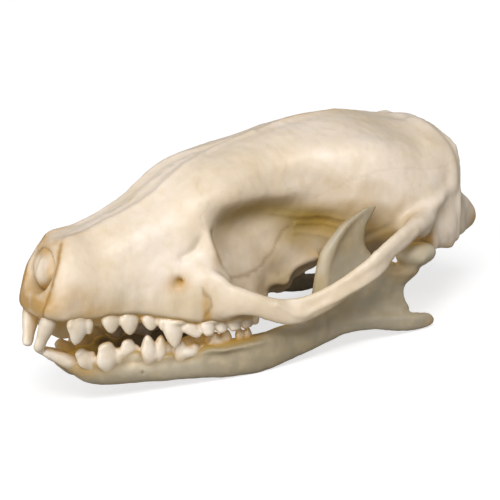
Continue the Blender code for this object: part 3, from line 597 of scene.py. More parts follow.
# Where the bone is stained brown: centre, reach and strength.
CRANIUM_STAINS = [
    ((0.0, 3.5, 20.3), (3.0, 2.6, 1.4), 0.8), ((2.8, 4.2, 20.6), (1.6, 1.6, 0.8), 0.9),
    ((5.2, 4.6, 14.8), (1.6, 2.2, 1.6), 0.8), ((3.4, 1.6, 16.5), (0.8, 0.9, 3.4), 0.9),
    ((2.0, 1.2, 13.6), (2.6, 0.9, 0.9), 0.7), ((0.0, 1.0, 15.5), (5.0, 1.5, 3.2), 1.3),
    ((3.6, 1.4, 13.6), (1.6, 1.6, 1.4), 0.7), ((2.0, 6.5, 21.6), (0.7, 4.0, 0.7), 0.4),
    ((5.6, 7.4, 13.0), (1.6, 3.0, 0.9), 0.7), ((8.2, 16.0, 15.4), (1.6, 1.3, 1.1), 1.1),
    ((9.4, 18.9, 12.4), (1.4, 0.5, 2.4), 1.4), ((8.8, 17.2, 10.9), (1.8, 3.4, 0.6), 0.6),
    ((11.0, 47.8, 17.4), (1.8, 0.9, 1.4), 1.2), ((7.4, 35.4, 19.4), (2.6, 3.0, 1.7), 0.5),
    ((4.4, 58.9, 16.2), (1.6, 0.9, 1.2), 1.3), ((10.6, 51.6, 14.9), (2.0, 2.0, 0.8), 0.6),
    ((0.0, 42.0, 31.6), (0.6, 12.0, 0.7), 0.5), ((4.0, 53.4, 28.6), (3.6, 0.6, 0.8), 0.5),
    ((9.0, 20.6, 17.0), (0.8, 0.6, 3.0), 0.4), ((12.6, 44.6, 17.8), (1.6, 1.8, 0.9), 0.7),
]
# Painted shade, olive: round the top of the orbit, in the recess behind it, along the cheek arch and above
# the tooth row.
CRANIUM_OLIVE_SHADE = [
    ((8.2, 21.4, 19.4), (1.6, 1.3, 1.8), 0.5), ((7.2, 24.2, 21.6), (2.4, 2.0, 1.2), 0.8),
    ((6.4, 27.4, 22.2), (2.6, 2.4, 1.2), 0.9), ((6.2, 30.8, 21.6), (2.6, 2.4, 1.2), 0.8),
    ((6.4, 34.0, 20.4), (2.6, 3.0, 1.6), 1.0), ((7.0, 37.0, 19.0), (2.6, 3.0, 2.0), 1.0),
    ((6.2, 33.2, 18.2), (2.4, 1.8, 1.4), 0.7), ((9.4, 43.0, 18.4), (2.4, 3.0, 1.4), 0.7),
    ((5.4, 30.5, 12.6), (2.0, 2.0, 1.2), 0.7), ((13.5, 25.5, 12.8), (2.5, 3.5, 2.2), 0.22),
    ((15.5, 31.0, 13.6), (2.5, 3.5, 2.4), 0.22), ((15.5, 37.0, 16.4), (2.5, 3.5, 2.4), 0.22),
    ((14.5, 42.5, 19.0), (2.5, 3.0, 2.4), 0.25), ((6.5, 9.0, 13.6), (2.0, 3.0, 1.4), 0.40),
    ((8.5, 15.0, 13.0), (2.5, 3.5, 1.6), 0.35), ((9.5, 20.5, 13.5), (2.5, 3.5, 2.2), 0.30),
]

# The left jaw bone's relief, ridges, pinholes and stains, written as those of the cranium.
JAW_RELIEF = [
    ((12.6, 37.5, 13.5), (1.2, 3.4, 3.6), -0.10),
    ((5.9, 11.0, 5.6), (0.9, 0.55, 0.9), 0.16),  # over the roots
    ((6.6, 13.2, 5.7), (0.9, 0.5, 0.9), 0.14),
    ((6.9, 14.9, 5.7), (0.9, 0.5, 0.9), 0.14),
    ((7.7, 16.6, 5.8), (0.9, 0.55, 0.8), 0.12),
    ((8.3, 18.8, 5.8), (0.9, 0.55, 0.8), 0.12),
    ((5.2, 9.0, 5.4), (0.9, 0.7, 0.9), 0.12),
    ((5.5, 11.7, 6.9), (0.8, 0.7, 0.6), 0.35),  # bone between the premolars
    ((5.6, 11.4, 5.9), (0.7, 0.5, 0.4), 0.16),
    ((6.4, 12.5, 6.6), (0.6, 0.4, 0.5), 0.15),
    ((13.6, 42.4, 13.4), (0.8, 2.6, 0.5), 0.22),  # shelf under the condyle
    ((13.4, 42.0, 11.8), (0.8, 2.4, 0.9), -0.22),
]
JAW_LINES_RAISED = [
    ([(33.0, 8.0), (33.2, 12.0), (34.0, 16.0), (36.2, 19.4), (39.0, 21.6)], SIDE_ON, 0.45, 0.14),
    ([(33.4, 9.2), (37.0, 8.4), (41.0, 8.3), (45.6, 7.6)], SIDE_ON, 0.50, 0.12),
]
JAW_PINHOLES = [((5.8, 12.2, 5.0), 0.26), ((6.8, 16.2, 4.8), 0.20)]
JAW_STAINS = [
    ((3.0, 6.5, 5.6), (2.0, 2.5, 0.8), 0.6), ((6.0, 13.0, 6.3), (2.5, 5.0, 0.5), 0.5),
    ((13.0, 44.0, 13.6), (2.0, 2.5, 0.9), 0.5), ((13.6, 46.8, 7.2), (0.8, 0.8, 0.7), 0.5),
    ((1.0, 5.0, 6.5), (1.2, 1.6, 1.2), 0.5),
]
# Painted light: where the jaw bone is lit paler, at its cap, along the coronoid's front edge and over the
# front roots.
JAW_PAINTED_LIGHT = [
    ((13.4, 45.2, 16.0), (2.0, 2.8, 1.2), 1.0), ((5.6, 11.6, 6.4), (1.0, 1.4, 0.9), 0.8),
    ((11.6, 33.6, 15.0), (1.0, 1.2, 6.0), 0.5), ((6.0, 14.0, 5.8), (1.2, 3.0, 0.7), 0.4),
]
# Where the bone inside the nose is stained.
NOSE_STAINS = [
    ((-0.8, 3.2, 20.0), (2.6, 1.5, 0.9), 1.6), ((-0.4, 3.0, 15.2), (2.6, 1.5, 1.0), 1.7),
    ((2.3, 3.4, 17.6), (0.7, 1.5, 3.0), 0.9), ((-2.2, 3.4, 17.4), (0.9, 1.5, 3.2), 1.8),
]

# The teeth of the left side as lobes: foot at the gum, tip, half length, half width and bluntness.
UPPER_LOBES = [
    ((2.75, 2.45, 12.7), (1.5, 0.95, 8.5), 1.08, 0.90, 0.62),  # first incisor
    ((4.90, 5.00, 11.9), (4.7, 4.35, 9.30), 1.25, 0.75, 0.25),  # third incisor and its heel
    ((5.10, 6.00, 11.7), (5.1, 6.05, 10.4), 0.62, 0.60, 0.45),
    ((4.85, 3.95, 11.9), (4.8, 3.80, 10.9), 0.50, 0.55, 0.50),
    ((5.20, 8.85, 12.0), (5.5, 8.70, 10.15), 1.25, 0.75, 0.26),  # canine
    ((5.55, 10.95, 11.8), (6.0, 10.85, 9.70), 1.28, 0.80, 0.26),  # premolars
    ((5.95, 13.45, 11.5), (6.6, 13.30, 9.95), 1.16, 0.80, 0.28),
    ((6.30, 14.25, 11.2), (6.7, 14.30, 10.5), 0.50, 0.65, 0.50),
    ((7.20, 15.70, 10.8), (8.3, 15.40, 7.80), 1.35, 0.95, 0.16),
    ((7.80, 17.50, 10.4), (8.9, 18.40, 8.85), 1.25, 0.75, 0.34),
    ((7.00, 14.45, 10.9), (7.5, 14.30, 10.0), 0.55, 0.60, 0.45),
    ((6.40, 15.90, 11.0), (6.1, 15.80, 9.75), 0.85, 0.80, 0.35),
    ((6.60, 17.30, 10.9), (6.3, 17.30, 9.85), 0.80, 0.75, 0.35),
    ((8.80, 19.40, 10.3), (9.5, 19.30, 8.90), 1.05, 0.85, 0.50),  # molars
    ((8.90, 21.00, 10.2), (9.6, 21.00, 9.00), 1.05, 0.80, 0.50),
    ((7.20, 19.30, 10.8), (6.8, 19.35, 9.60), 0.85, 0.85, 0.35),
    ((7.20, 20.75, 10.8), (6.9, 20.70, 9.70), 0.80, 0.80, 0.35),
    ((9.20, 22.60, 10.3), (9.8, 22.60, 9.05), 1.10, 0.80, 0.65),
    ((9.20, 24.10, 10.2), (9.8, 24.20, 9.15), 1.05, 0.75, 0.65),
    ((7.90, 22.50, 10.7), (7.6, 22.50, 9.80), 0.75, 0.75, 0.35),
    ((7.90, 23.60, 10.6), (7.8, 23.60, 9.85), 0.65, 0.65, 0.40),
    ((9.30, 25.30, 10.2), (9.6, 25.40, 9.30), 0.70, 0.55, 0.50),
    ((8.50, 25.00, 10.5), (8.4, 25.00, 9.80), 0.55, 0.55, 0.40),
]
# Flat bodies that join the lobes of one tooth: centre and radii.
UPPER_BASES = [
    ((7.1, 16.3, 10.8), (1.5, 1.8, 0.7)), ((8.2, 20.0, 10.7), (1.8, 1.6, 0.95)),
    ((8.7, 23.0, 10.5), (1.6, 1.4, 0.8)),
]
LOWER_LOBES = [
    ((1.70, 5.40, 6.30), (1.15, 1.85, 8.30), 0.90, 0.75, 0.60),  # first incisor
    ((2.95, 6.50, 6.70), (2.95, 5.40, 8.15), 1.10, 0.70, 0.55),  # third incisor
    ((3.05, 7.00, 6.70), (3.05, 7.00, 7.80), 0.80, 0.65, 0.60),
    ((4.05, 8.80, 6.50), (4.20, 8.30, 8.85), 1.60, 0.85, 0.52),  # canine
    ((4.30, 10.00, 6.60), (4.45, 10.10, 8.00), 0.95, 0.75, 0.62),
    ((4.80, 11.00, 7.40), (5.00, 10.85, 9.00), 1.20, 0.72, 0.50),  # premolars
    ((4.90, 11.90, 7.30), (5.05, 11.95, 8.15), 0.60, 0.65, 0.50),
    ((5.75, 13.20, 6.60), (6.05, 12.95, 9.40), 1.15, 0.95, 0.26),
    ((5.95, 14.35, 6.60), (6.15, 14.70, 9.15), 1.00, 0.90, 0.26),
    ((6.90, 16.70, 6.40), (7.10, 16.60, 8.50), 1.00, 0.90, 0.30),  # molars
    ((7.15, 18.30, 6.40), (7.45, 18.30, 7.85), 0.95, 0.90, 0.35),
    ((7.20, 19.30, 6.50), (7.45, 19.40, 7.60), 0.75, 0.80, 0.40),
    ((6.35, 16.60, 6.60), (6.20, 16.40, 9.00), 0.80, 0.70, 0.25),
    ((6.45, 18.60, 6.60), (6.30, 18.60, 8.70), 0.80, 0.70, 0.28),
    ((7.95, 20.80, 7.60), (8.00, 20.80, 8.90), 0.75, 0.60, 0.38),
    ((8.15, 22.10, 7.70), (8.20, 22.20, 8.95), 0.75, 0.60, 0.40),
    ((7.40, 20.60, 7.40), (7.30, 20.50, 9.20), 0.70, 0.60, 0.30),
    ((7.60, 22.20, 7.50), (7.50, 22.20, 9.10), 0.70, 0.60, 0.32),
    ((8.60, 23.70, 8.00), (8.60, 23.60, 9.05), 0.60, 0.60, 0.42),
    ((8.80, 24.60, 8.00), (8.80, 24.60, 9.00), 0.55, 0.55, 0.45),
]
LOWER_BASES = [
    ((6.3, 18.8, 7.4), (0.7, 2.6, 1.2)), ((6.1, 15.8, 7.2), (0.7, 1.3, 1.1)),
    ((5.8, 13.7, 6.9), (0.95, 1.6, 1.0)), ((6.9, 17.8, 6.8), (1.25, 2.1, 0.9)),
    ((7.8, 21.4, 7.5), (0.9, 1.6, 0.9)),
]
# A lobe's size from its root to its shoulder, as (place, share), and the places above them.
LOBE_PROFILE = [(-1.0, 0.55), (-0.45, 0.80), (-0.1, 0.95), (0.15, 1.0), (0.4, 0.90), (0.65, 0.68)]
LOBE_UPPER = 0.84
LOBE_TOP = 0.96


def lobe(foot, tip, half_length, half_width, blunt, sides=24):
    """One cusp of a tooth with its root, as rings across the line from its foot to its tip."""
    foot, tip = np.array(foot, float), np.array(tip, float)
    axis = tip - foot
    reach = np.linalg.norm(axis)
    axis /= reach
    lengthways = np.array([0, 1.0, 0]) - axis * axis[1]
    lengthways /= np.linalg.norm(lengthways)
    across = np.cross(axis, lengthways)
    angle = np.arange(sides) * math.tau / sides
    ring = np.outer(np.cos(angle), across) * half_width
    ring += np.outer(np.sin(angle), lengthways) * half_length
    # Below the foot the profile is in root depths and above it in lengths of the crown.
    rings = []
    for at, size in LOBE_PROFILE:
        rings.append(foot + axis * (at * (ROOT_DEPTH if at < 0 else reach)) + ring * size)
    upper = (LOBE_PROFILE[-1][1] + blunt) / 2
    rings.append(foot + axis * reach * LOBE_UPPER + ring * upper)
    rings.append(foot + axis * reach * LOBE_TOP + ring * blunt * 0.85)
    rings.append(foot + axis * reach + ring * blunt * 0.4)
    return loft(rings)


def fine_teeth(name, lobes, bases):
    shapes = [lobe(*sizes) for sizes in lobes] + [ball(centre, radii, 12, 24) for centre, radii in bases]
    points, quads = fused(name, shapes, TOOTH_GRAIN)
    return relaxed(points, edges_of(quads), 7), quads


def half_of(points):
    """The points with the right side laid over the left."""
    half = points.copy()
    half[:, 0] = np.abs(half[:, 0])
    return half


def facing(out, plane):
    """Which points face the side from which a line is drawn, as 0 to 1."""
    if plane is SIDE_ON:
        toward = np.abs(out[:, 0])
    elif plane is FROM_ABOVE:
        toward = out[:, 2]
    elif plane is FROM_BELOW:
        toward = -out[:, 2]
    else:
        toward = out[:, 1]
    return np.clip(toward * 3 - 0.5, 0, 1)


def finished_skin(points, quads, fine, relief, raised, traces, seams, pinholes, stains):
    """Relief, ridges, sutures and pinholes pressed into a skin: (points, quads, {mark: values})."""
    edges = edges_of(quads)
    points = relaxed(points, edges, 4)
    # Creases where two forms meet are filled further, as bone rounds them.
    for _ in range(6):
        out = normals_of(points, quads)
        crease = ((neighbour_mean(points, edges) - points) * out).sum(1)
        mask = np.clip(crease / (0.05 * fine), 0, 1)
        for _ in range(4):
            mask = neighbour_mean(mask, edges)
        points = relaxed(points, edges, 3, 0.2 + 0.7 * np.clip(mask * 2, 0, 1))
    out = normals_of(points, quads)
    half = half_of(points)
    push = 0.05 * wave(points, 5.0, 1) + 0.03 * wave(points, 1.8, 2) + 0.012 * wave(points, 0.7, 3)
    for centre, reach, height in relief:
        push += height * dab(half, centre, reach)
    for line, plane, width, height in raised:
        push += height * seam(half, line, plane, width, 0.08) * facing(out, plane)
    dark_lines_and_pit_shade = np.zeros(len(points))
    for line, plane, width, depth, darkness in seams:
        near = seam(half, line, plane, width) * facing(out, plane)
        push -= depth * near
        dark_lines_and_pit_shade = np.maximum(dark_lines_and_pit_shade, darkness * near)
    # Pinholes are painted dark: painted shade in the pits.
    for place, radius in pinholes:
        near = np.exp(-((np.linalg.norm(half - place, axis=1) / radius) ** 4))
        push -= 0.8 * radius * near
        dark_lines_and_pit_shade = np.maximum(dark_lines_and_pit_shade, 0.8 * near)
    stain = dabs(half, stains)
    for line, width, height, strength in traces:
        line = [half[np.argmin(((half - place) ** 2).sum(1))] for place in np.array(line, float)]
        near = trace(half, line, width)
        push += height * near
        stain += strength * near
        dark_lines_and_pit_shade = np.maximum(dark_lines_and_pit_shade, 0.45 * strength * near**3)
    return points + out * push[:, None], quads, {"seam": dark_lines_and_pit_shade, "stain": stain}


# What lies near what


def near_to(points, tree, reach):
    """How near each point is to another skin, from 1 where it touches to 0 at reach."""
    found = np.array([tree.find_nearest(point, reach)[3] or reach for point in points.tolist()])
    return np.clip(1 - found / reach, 0, 1)


def shelter(points, quads, tree, rays=12, reach=9.0, lift=0.12):
    """How much of the air around each point is closed in by bone, from 0 in the open to 1 in a pit: the
    mask of the painted shade and painted glow in hollows.
    """
    out = normals_of(points, quads)
    turn = np.arange(rays) * math.pi * (3 - math.sqrt(5))
    height = 0.15 + 0.8 * (np.arange(rays) + 0.5) / rays
    wide = np.sqrt(1 - height**2)
    side = np.cross(out, np.where(np.abs(out[:, 2:]) < 0.9, [[0, 0, 1.0]], [[1.0, 0, 0]]))
    side /= np.linalg.norm(side, axis=1)[:, None]
    other = np.cross(out, side)
    closed = np.zeros(len(points))
    start = (points + out * lift).tolist()
    for k in range(rays):
        way = side * (wide[k] * math.cos(turn[k])) + other * (wide[k] * math.sin(turn[k])) + out * height[k]
        closed += [tree.ray_cast(a, b, reach)[0] is not None for a, b in zip(start, way.tolist())]
    closed /= rays
    edges = edges_of(quads)
    for _ in range(6):
        closed = neighbour_mean(closed, edges)
    return closed


def piece(name, points, quads, marks, skin, node, slot):
    """A finished piece from a skin in millimetres, laid down to rest, that stands for a CAD node."""
    mesh = bpy.data.meshes.new(name)
    mesh.from_pydata(points.tolist(), [], quads.tolist())
    mesh.transform(LAY)
    mesh.shade_smooth()
    for mark, values in marks.items():
        layer = mesh.attributes.new(mark, "FLOAT", "POINT")
        layer.data.foreach_set("value", np.asarray(values, np.float32))
    mesh.materials.append(skin)
    made = bpy.data.objects.new(name, mesh)
    bpy.context.scene.collection.objects.link(made)
    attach(made, "root")
    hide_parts(node)
    return made


# Materials

# Colour of the painted glow in closed spaces.
PAINTED_GLOW_COLOUR = "#c89f50"


def linear(colour):
    """An sRGB hex colour as linear red, green, blue and 1."""
    parts = [int(colour[k : k + 2], 16) / 255 for k in (1, 3, 5)]
    return (*[v / 12.92 if v <= 0.04045 else ((v + 0.055) / 1.055) ** 2.4 for v in parts], 1)


def fill(tree, node, sockets):
    """Each named or numbered socket of a node linked or given its value."""
    for name, value in dict(sockets).items():
        socket = node.inputs[name]
        if isinstance(value, bpy.types.NodeSocket):
            tree.links.new(value, socket)
        else:
            socket.default_value = value


def add(tree, kind, sockets=(), **settings):
    """A node with its settings and with its sockets filled."""
    made = tree.nodes.new(kind)
    for name, value in settings.items():
        setattr(made, name, value)
    fill(tree, made, sockets)
    return made


def new_material(name):
    """A material with its node tree and its shader."""
    skin = bpy.data.materials.new(name)
    skin.use_nodes = True
    return skin, skin.node_tree, skin.node_tree.nodes["Principled BSDF"]


def mixed(tree, share, first, second):
    return add(tree, "ShaderNodeMix", {0: share, 6: first, 7: second}, data_type="RGBA").outputs[2]


def ramp(tree, value, low, high, start=0.0, end=1.0):
    """The value stretched so that low gives start and high gives end."""
    return add(tree, "ShaderNodeMapRange", {0: value, 1: low, 2: high, 3: start, 4: end}).outputs[0]


def noise(tree, place, scale, detail):
    sockets = {"Vector": place, "Scale": scale, "Detail": detail}
    return add(tree, "ShaderNodeTexNoise", sockets).outputs[0]


def bump(tree, height, strength, distance, **more):
    """A surface direction tilted by a height field of so many metres."""
    sockets = {"Height": height, "Strength": strength, "Distance": distance, **more}
    return add(tree, "ShaderNodeBump", sockets).outputs[0]


def times(tree, first, second):
    node = add(tree, "ShaderNodeMath", {0: first, 1: second}, operation="MULTIPLY", use_clamp=True)
    return node.outputs[0]


def mark(tree, name):
    return add(tree, "ShaderNodeAttribute", attribute_name=name).outputs["Fac"]


def dry_bone(name, light, warm):
    """Aged bone, cleaned and dried: chalky cream, browner where fat and soil have stayed in it, with
    painted shade darkening its hollows, the orbit and the tooth sockets, painted light where marked, and a
    painted glow in closed spaces.
    """
    skin, tree, shader = new_material(name)
    place = add(tree, "ShaderNodeTexCoord").outputs["Object"]
    patches = noise(tree, place, 110.0, 3.0)
    mottle = noise(tree, place, 700.0, 4.0)
    blotch = noise(tree, place, 380.0, 5.0)
    pores = noise(tree, place, 3000.0, 3.0)
    closed = mark(tree, "shelter")
    stain = times(tree, mark(tree, "stain"), ramp(tree, blotch, 0.3, 0.62, 0.25, 1.0))
    colour = mixed(tree, ramp(tree, patches, 0.36, 0.66), linear(light), linear(warm))
    # Each tint lies over those before it.
    for share, tint in (
        (ramp(tree, mottle, 0.5, 0.85, 0.0, 0.45), "#d3bd93"),
        # Painted light: the jaw made paler where light falls on it.
        (mark(tree, "pale"), "#e6dac2"),
        # Painted shade: hollows darkened toward brown by how closed in they are.
        (ramp(tree, closed, 0.06, 0.75), "#9c7f3c"),
        # Painted shade, olive, round the orbit and on the cheek arch.
        (times(tree, mark(tree, "olive"), 0.8), "#a38a48"),
        (times(tree, stain, 0.85), "#bd9142"),
        # Painted shade where the bone meets a tooth.
        (ramp(tree, mark(tree, "gum"), 0.2, 1.0, 0.0, 0.5), "#8f7038"),
        # Dark sutures and stain lines, with painted shade in the pinholes.
        (mark(tree, "seam"), "#74501c"),
    ):
        colour = mixed(tree, share, colour, linear(tint))
    grain = bump(tree, pores, 0.2, 0.00006)
    fill(tree, shader, {
        "Base Color": colour,
        "Normal": bump(tree, mottle, 0.3, 0.0002, Normal=grain),
        "Roughness": ramp(tree, mottle, 0.3, 0.7, 0.38, 0.56),
        # Painted glow: the bone glows faintly in the mouth and the other closed spaces, lighting them.
        "Emission Color": linear(PAINTED_GLOW_COLOUR),
        "Emission Strength": ramp(tree, closed, 0.40, 0.90, 0.0, 0.36),
        "Subsurface Weight": 0.1,
        "Subsurface Radius": (1.0, 0.7, 0.45),
        "Subsurface Scale": 0.001,
        "IOR": 1.5,
    })
    return skin


def enamel(name):
    """Tooth enamel over yellower dentine: smooth, slightly see-through and glossier than the bone."""
    skin, tree, shader = new_material(name)
    place = add(tree, "ShaderNodeTexCoord").outputs["Object"]
    patches = noise(tree, place, 500.0, 3.0)
    ripple = noise(tree, place, 1500.0, 2.0)
    closed = mark(tree, "shelter")
    colour = mixed(tree, ramp(tree, patches, 0.35, 0.7), linear("#ebe0d0"), linear("#dccab0"))
    # Painted shade: the teeth darkened toward brown where closed in.
    colour = mixed(tree, ramp(tree, closed, 0.25, 0.9), colour, linear("#b08e55"))
    # Painted shade where the tooth meets the bone.
    colour = mixed(tree, ramp(tree, mark(tree, "gum"), 0.2, 1.0, 0.0, 0.45), colour, linear("#a3834a"))
    fill(tree, shader, {
        "Base Color": colour,
        "Normal": bump(tree, ripple, 0.15, 0.0001),
        "Roughness": 0.3,
        # Painted glow in closed spaces, as on the bone.
        "Emission Color": linear(PAINTED_GLOW_COLOUR),
        "Emission Strength": ramp(tree, closed, 0.40, 0.90, 0.0, 0.26),
        "Subsurface Weight": 0.15,
        "Subsurface Radius": (1.0, 0.8, 0.6),
        "Subsurface Scale": 0.0005,
        "IOR": 1.6,
    })
    return skin


# The skull's pieces

# The plug of thin bone inside the nose, and the wall down its middle.
NOSE_PLUG = [
    (0, 2.5, 18.0, 0.7, 1.1), (0, 2.8, 17.9, 1.7, 2.1), (0, 3.5, 17.8, 2.4, 2.7), (0, 4.8, 17.6, 2.8, 3.0),
    (0, 7.0, 17.4, 2.2, 2.2),
]
NOSE_SEPTUM = [(0, 2.5, 20.4), (0.1, 2.6, 17.8), (0, 2.8, 15.2)]

# Thin bone and fuller margins of the left side, as bars like the cheek arch or as (centre, radii).
PALATE_WALL = [
    (4.9, 26.5, 13.2, 0.9, 1.6), (5.0, 28.6, 13.3, 0.8, 1.8), (5.0, 30.2, 13.0, 0.7, 1.8),
    (5.0, 31.2, 12.8, 0.6, 1.6), (5.0, 32.6, 14.3, 0.7, 1.5), (5.1, 34.2, 14.9, 0.7, 1.5),
    (5.2, 36.3, 15.3, 0.7, 1.5),
]
ORBIT_WALL = ((4.2, 31.0, 16.2), (1.9, 7.5, 3.5))
EAR_WALL = ((11.1, 49.9, 17.3), (0.9, 1.7, 2.4))
INCISOR_BONE = ((0, 5.3, 11.2), (2.0, 2.7, 2.3))
PALATE_MARGIN = [
    (2.8, 5.0, 11.9, 0.8, 0.9), (3.6, 7.5, 11.6, 0.8, 0.9), (4.4, 10.5, 11.4, 0.8, 0.9),
    (5.0, 13.5, 11.2, 0.8, 0.9), (5.9, 16.5, 10.9, 0.8, 0.9), (6.8, 19.5, 10.6, 0.7, 0.8),
]
GUM_MARGIN = [
    (3.0, 7.2, 6.2, 0.6, 0.7), (4.1, 9.6, 6.5, 0.6, 0.8), (4.9, 11.7, 7.0, 0.75, 0.85),
    (5.5, 13.2, 6.3, 0.6, 0.95), (6.2, 15.6, 6.5, 0.6, 1.0), (7.2, 18.6, 6.4, 0.6, 1.0),
    (7.6, 19.8, 6.9, 0.6, 1.5), (7.9, 21.2, 6.9, 0.6, 2.1), (8.5, 23.0, 7.1, 0.6, 2.1),
    (9.0, 25.2, 7.3, 0.6, 2.1), (9.7, 28.0, 7.6, 0.55, 1.7), (10.5, 31.0, 8.0, 0.5, 1.2),
]
JAW_CAP = ((13.4, 45.2, 15.5), (1.6, 2.7, 1.35))
# The canal below the orbit, for the nerve of the snout.
CHEEK_CANAL = [(9.5, 14.2, 15.3, 0.55, 0.45), (8.2, 16.2, 15.5, 0.62, 0.5), (7.2, 18.6, 15.8, 0.5, 0.4)]

# How far the painted shade where tooth meets bone reaches, on the bone round a tooth and on the tooth above
# the bone.
BONE_JUNCTION_SHADE = 0.7
TOOTH_JUNCTION_SHADE = 0.5


def tree_of(skins):
    """A search tree over several skins of (points, quads, ...)."""
    points, faces = heap([(skin[0], skin[1].tolist()) for skin in skins])
    return BVHTree.FromPolygons(points.tolist(), faces)


def mirror_skin(skin):
    """The same skin of (points, quads, ...) on the animal's right side."""
    return skin[0] * (-1, 1, 1), skin[1][:, ::-1]


def pair_of_pieces(name, points, quads, marks, skin, nodes, slot):
    """A piece of the left side and its mirror image on the right."""
    piece(f"{name}_left", points, quads, marks, skin, nodes[0], slot)
    piece(f"{name}_right", *mirror_skin((points, quads)), marks, skin, nodes[1], slot)


def make_skull(bone, jaw_bone, tooth_skin):
    shapes, cuts = cranium_shapes(step=0.5, per_span=8, bar_step=0.5, sides=20)
    cuts += both_sides([bar(CHEEK_CANAL, 0.4, 12)])
    # Thin bone beside the rear palate, in the orbit's inner wall, between the jaw joint and the
    # mastoid, between the incisors and along the palate beside the teeth.
    shapes += both_sides([bar(PALATE_WALL, 0.4, 16), ball(*ORBIT_WALL, 16, 28), ball(*EAR_WALL, 12, 20)])
    shapes += [ball(*INCISOR_BONE, 12, 24), *both_sides([bar(PALATE_MARGIN, 0.5, 16)])]
    cranium = finished_skin(
        *fused("cranium_fine", shapes, BONE_GRAIN, cuts), BONE_GRAIN, CRANIUM_RELIEF, CRANIUM_LINES_RAISED,
        CRANIUM_TRACES, CRANIUM_SEAMS, CRANIUM_PINHOLES, CRANIUM_STAINS,
    )
    # The jaw has a long cap on its condyle and a full margin round its teeth.
    shapes = jaw_shapes(step=0.5, sides=24, per_edge=40)
    shapes += [ball(*JAW_CAP, 12, 20), bar(GUM_MARGIN, 0.5, 16)]
    jaw = finished_skin(
        *fused("jaw_fine", shapes, JAW_GRAIN), JAW_GRAIN, JAW_RELIEF, JAW_LINES_RAISED, [], [],
        JAW_PINHOLES, JAW_STAINS,
    )
    jaw[0][:, 0] = np.maximum(jaw[0][:, 0], JAW_HALF_GAP)
    upper = fine_teeth("upper_teeth_fine", UPPER_LOBES, UPPER_BASES)
    lower = fine_teeth("lower_teeth_fine", LOWER_LOBES, LOWER_BASES)

    bones = [cranium, jaw, mirror_skin(jaw)]
    teeth = [upper, mirror_skin(upper), lower, mirror_skin(lower)]
    all_tree, bone_tree, tooth_tree = tree_of(bones + teeth), tree_of(bones), tree_of(teeth)

    points, quads, marks = cranium
    marks["shelter"] = shelter(points, quads, all_tree)
    marks["gum"] = near_to(points, tooth_tree, BONE_JUNCTION_SHADE)
    marks["olive"] = dabs(half_of(points), CRANIUM_OLIVE_SHADE)
    piece("cranium_bone", points, quads, marks, bone, "cranium", "bone")
    jaws = ("mandible_left", "mandible_right")
    points, quads, marks = jaw
    marks["shelter"] = shelter(points, quads, all_tree)
    marks["gum"] = 0.4 * near_to(points, tooth_tree, BONE_JUNCTION_SHADE)
    # Painted light on the jaw's cap, coronoid edge and front roots.
    marks["pale"] = dabs(points, JAW_PAINTED_LIGHT)
    pair_of_pieces("jaw_bone", points, quads, marks, jaw_bone, jaws, "jaw_bone")
    for name, (points, quads), nodes, slot in (
        ("upper_teeth", upper, ("cranium", "cranium"), "bone"),
        ("lower_teeth", lower, jaws, "jaw_bone"),
    ):
        marks = {"shelter": shelter(points, quads, all_tree)}
        marks["gum"] = near_to(points, bone_tree, TOOTH_JUNCTION_SHADE)
        pair_of_pieces(name, points, quads, marks, tooth_skin, nodes, slot)

    # The thin scrolls inside the nose show as one plug behind its opening.
    points, quads = fused("nose_fine", [bar(NOSE_PLUG, 0.4, 32)], NOSE_GRAIN)
    points = relaxed(points, edges_of(quads), 6)
    points[:, 1] += 0.12 * wave(points, 1.4, 9) - 0.25 * trace(points, NOSE_SEPTUM, 0.4)
    marks = {"shelter": 0.5 * shelter(points, quads, all_tree), "stain": dabs(points, NOSE_STAINS)}
    piece("nose_bone", points, quads, marks, bone, "cranium", "bone")


# Studio

CAMERA_AROUND = math.radians(62.73)  # from the snout's front toward the animal's left
CAMERA_RISE = math.radians(12.98)
CAMERA_ROLL = math.radians(-3.03)
CAMERA_AWAY = 320.0
CAMERA_AIM = (3.0, 28.0, 14.0)
CAMERA_LENS = 193.4  # on a 36 mm wide sensor
CAMERA_SHIFT = (0.0054, 0.0446)

# Area lights, in metres and watts: name, place, size and power.
LIGHTS = [("key", (1.02, -0.42, 1.22), 0.75, 19.5), ("fill", (0.38, -1.05, 0.36), 0.8, 6.0)]
LIGHT_AIM = Vector((0, 0, 0.012))
SKY_STRENGTH = 0.22
FLOOR_SIZE = 6
FLOOR_GLOW = 0.7


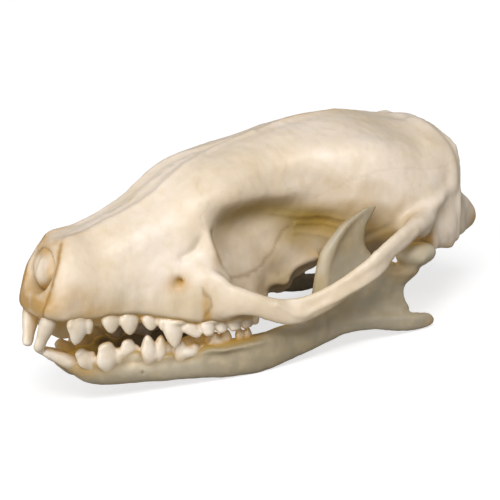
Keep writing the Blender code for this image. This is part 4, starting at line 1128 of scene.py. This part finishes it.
def make_camera():
    turn, rise, roll = CAMERA_AROUND, CAMERA_RISE, CAMERA_ROLL
    back = Vector((math.sin(turn) * math.cos(rise), -math.cos(turn) * math.cos(rise), math.sin(rise)))
    right = (-back).cross(Vector((0, 0, 1))).normalized()
    up = right.cross(-back)
    right, up = right * math.cos(roll) + up * math.sin(roll), up * math.cos(roll) - right * math.sin(roll)
    lay = Matrix.Rotation(-REST_TURN, 3, "X")
    view = Matrix([lay @ right, lay @ up, lay @ back]).transposed()
    data = bpy.data.cameras.new("camera")
    data.lens = CAMERA_LENS
    data.shift_x, data.shift_y = CAMERA_SHIFT
    data.clip_start = 0.01
    camera = bpy.data.objects.new("camera", data)
    place = LAY @ (Vector(CAMERA_AIM) + back * CAMERA_AWAY)
    camera.matrix_world = Matrix.Translation(place) @ view.to_4x4()
    bpy.context.scene.collection.objects.link(camera)
    bpy.context.scene.camera = camera


def make_light(name, place, size, power):
    data = bpy.data.lights.new(name, "AREA")
    data.size = size
    data.energy = power
    lamp = bpy.data.objects.new(name, data)
    lamp.location = place
    lamp.rotation_euler = (LIGHT_AIM - Vector(place)).to_track_quat("-Z", "Y").to_euler()
    bpy.context.scene.collection.objects.link(lamp)


def make_studio():
    bpy.ops.mesh.primitive_plane_add(size=FLOOR_SIZE)
    floor = bpy.context.object
    floor.name = "floor"
    skin, tree, shader = new_material("pale_board")
    # The board glows toward the camera, so that it looks white, but throws little light up.
    seen = add(tree, "ShaderNodeLightPath").outputs["Is Camera Ray"]
    fill(tree, shader, {
        "Base Color": mixed(tree, seen, linear("#a39e94"), linear("#b4b4b4")),
        "Emission Color": linear("#ffffff"),
        "Emission Strength": times(tree, seen, FLOOR_GLOW),
        "Roughness": 0.9,
    })
    floor.data.materials.append(skin)
    world = bpy.data.worlds.new("studio")
    world.use_nodes = True
    fill(world.node_tree, world.node_tree.nodes["Background"], {0: linear("#ffffff"), 1: SKY_STRENGTH})
    bpy.context.scene.world = world
    for sizes in LIGHTS:
        make_light(*sizes)
    bpy.context.scene.view_settings.view_transform = "Standard"


bone = dry_bone("dry_bone", "#ebdccb", "#e0cdb1")
# Painted shade: the jaws get a darker copy of the bone, as they lie in shade under the cranium.
jaw_bone = dry_bone("dry_bone_in_painted_shade", "#aca28e", "#9f937b")
make_skull(bone, jaw_bone, enamel("tooth_enamel"))
make_camera()
make_studio()
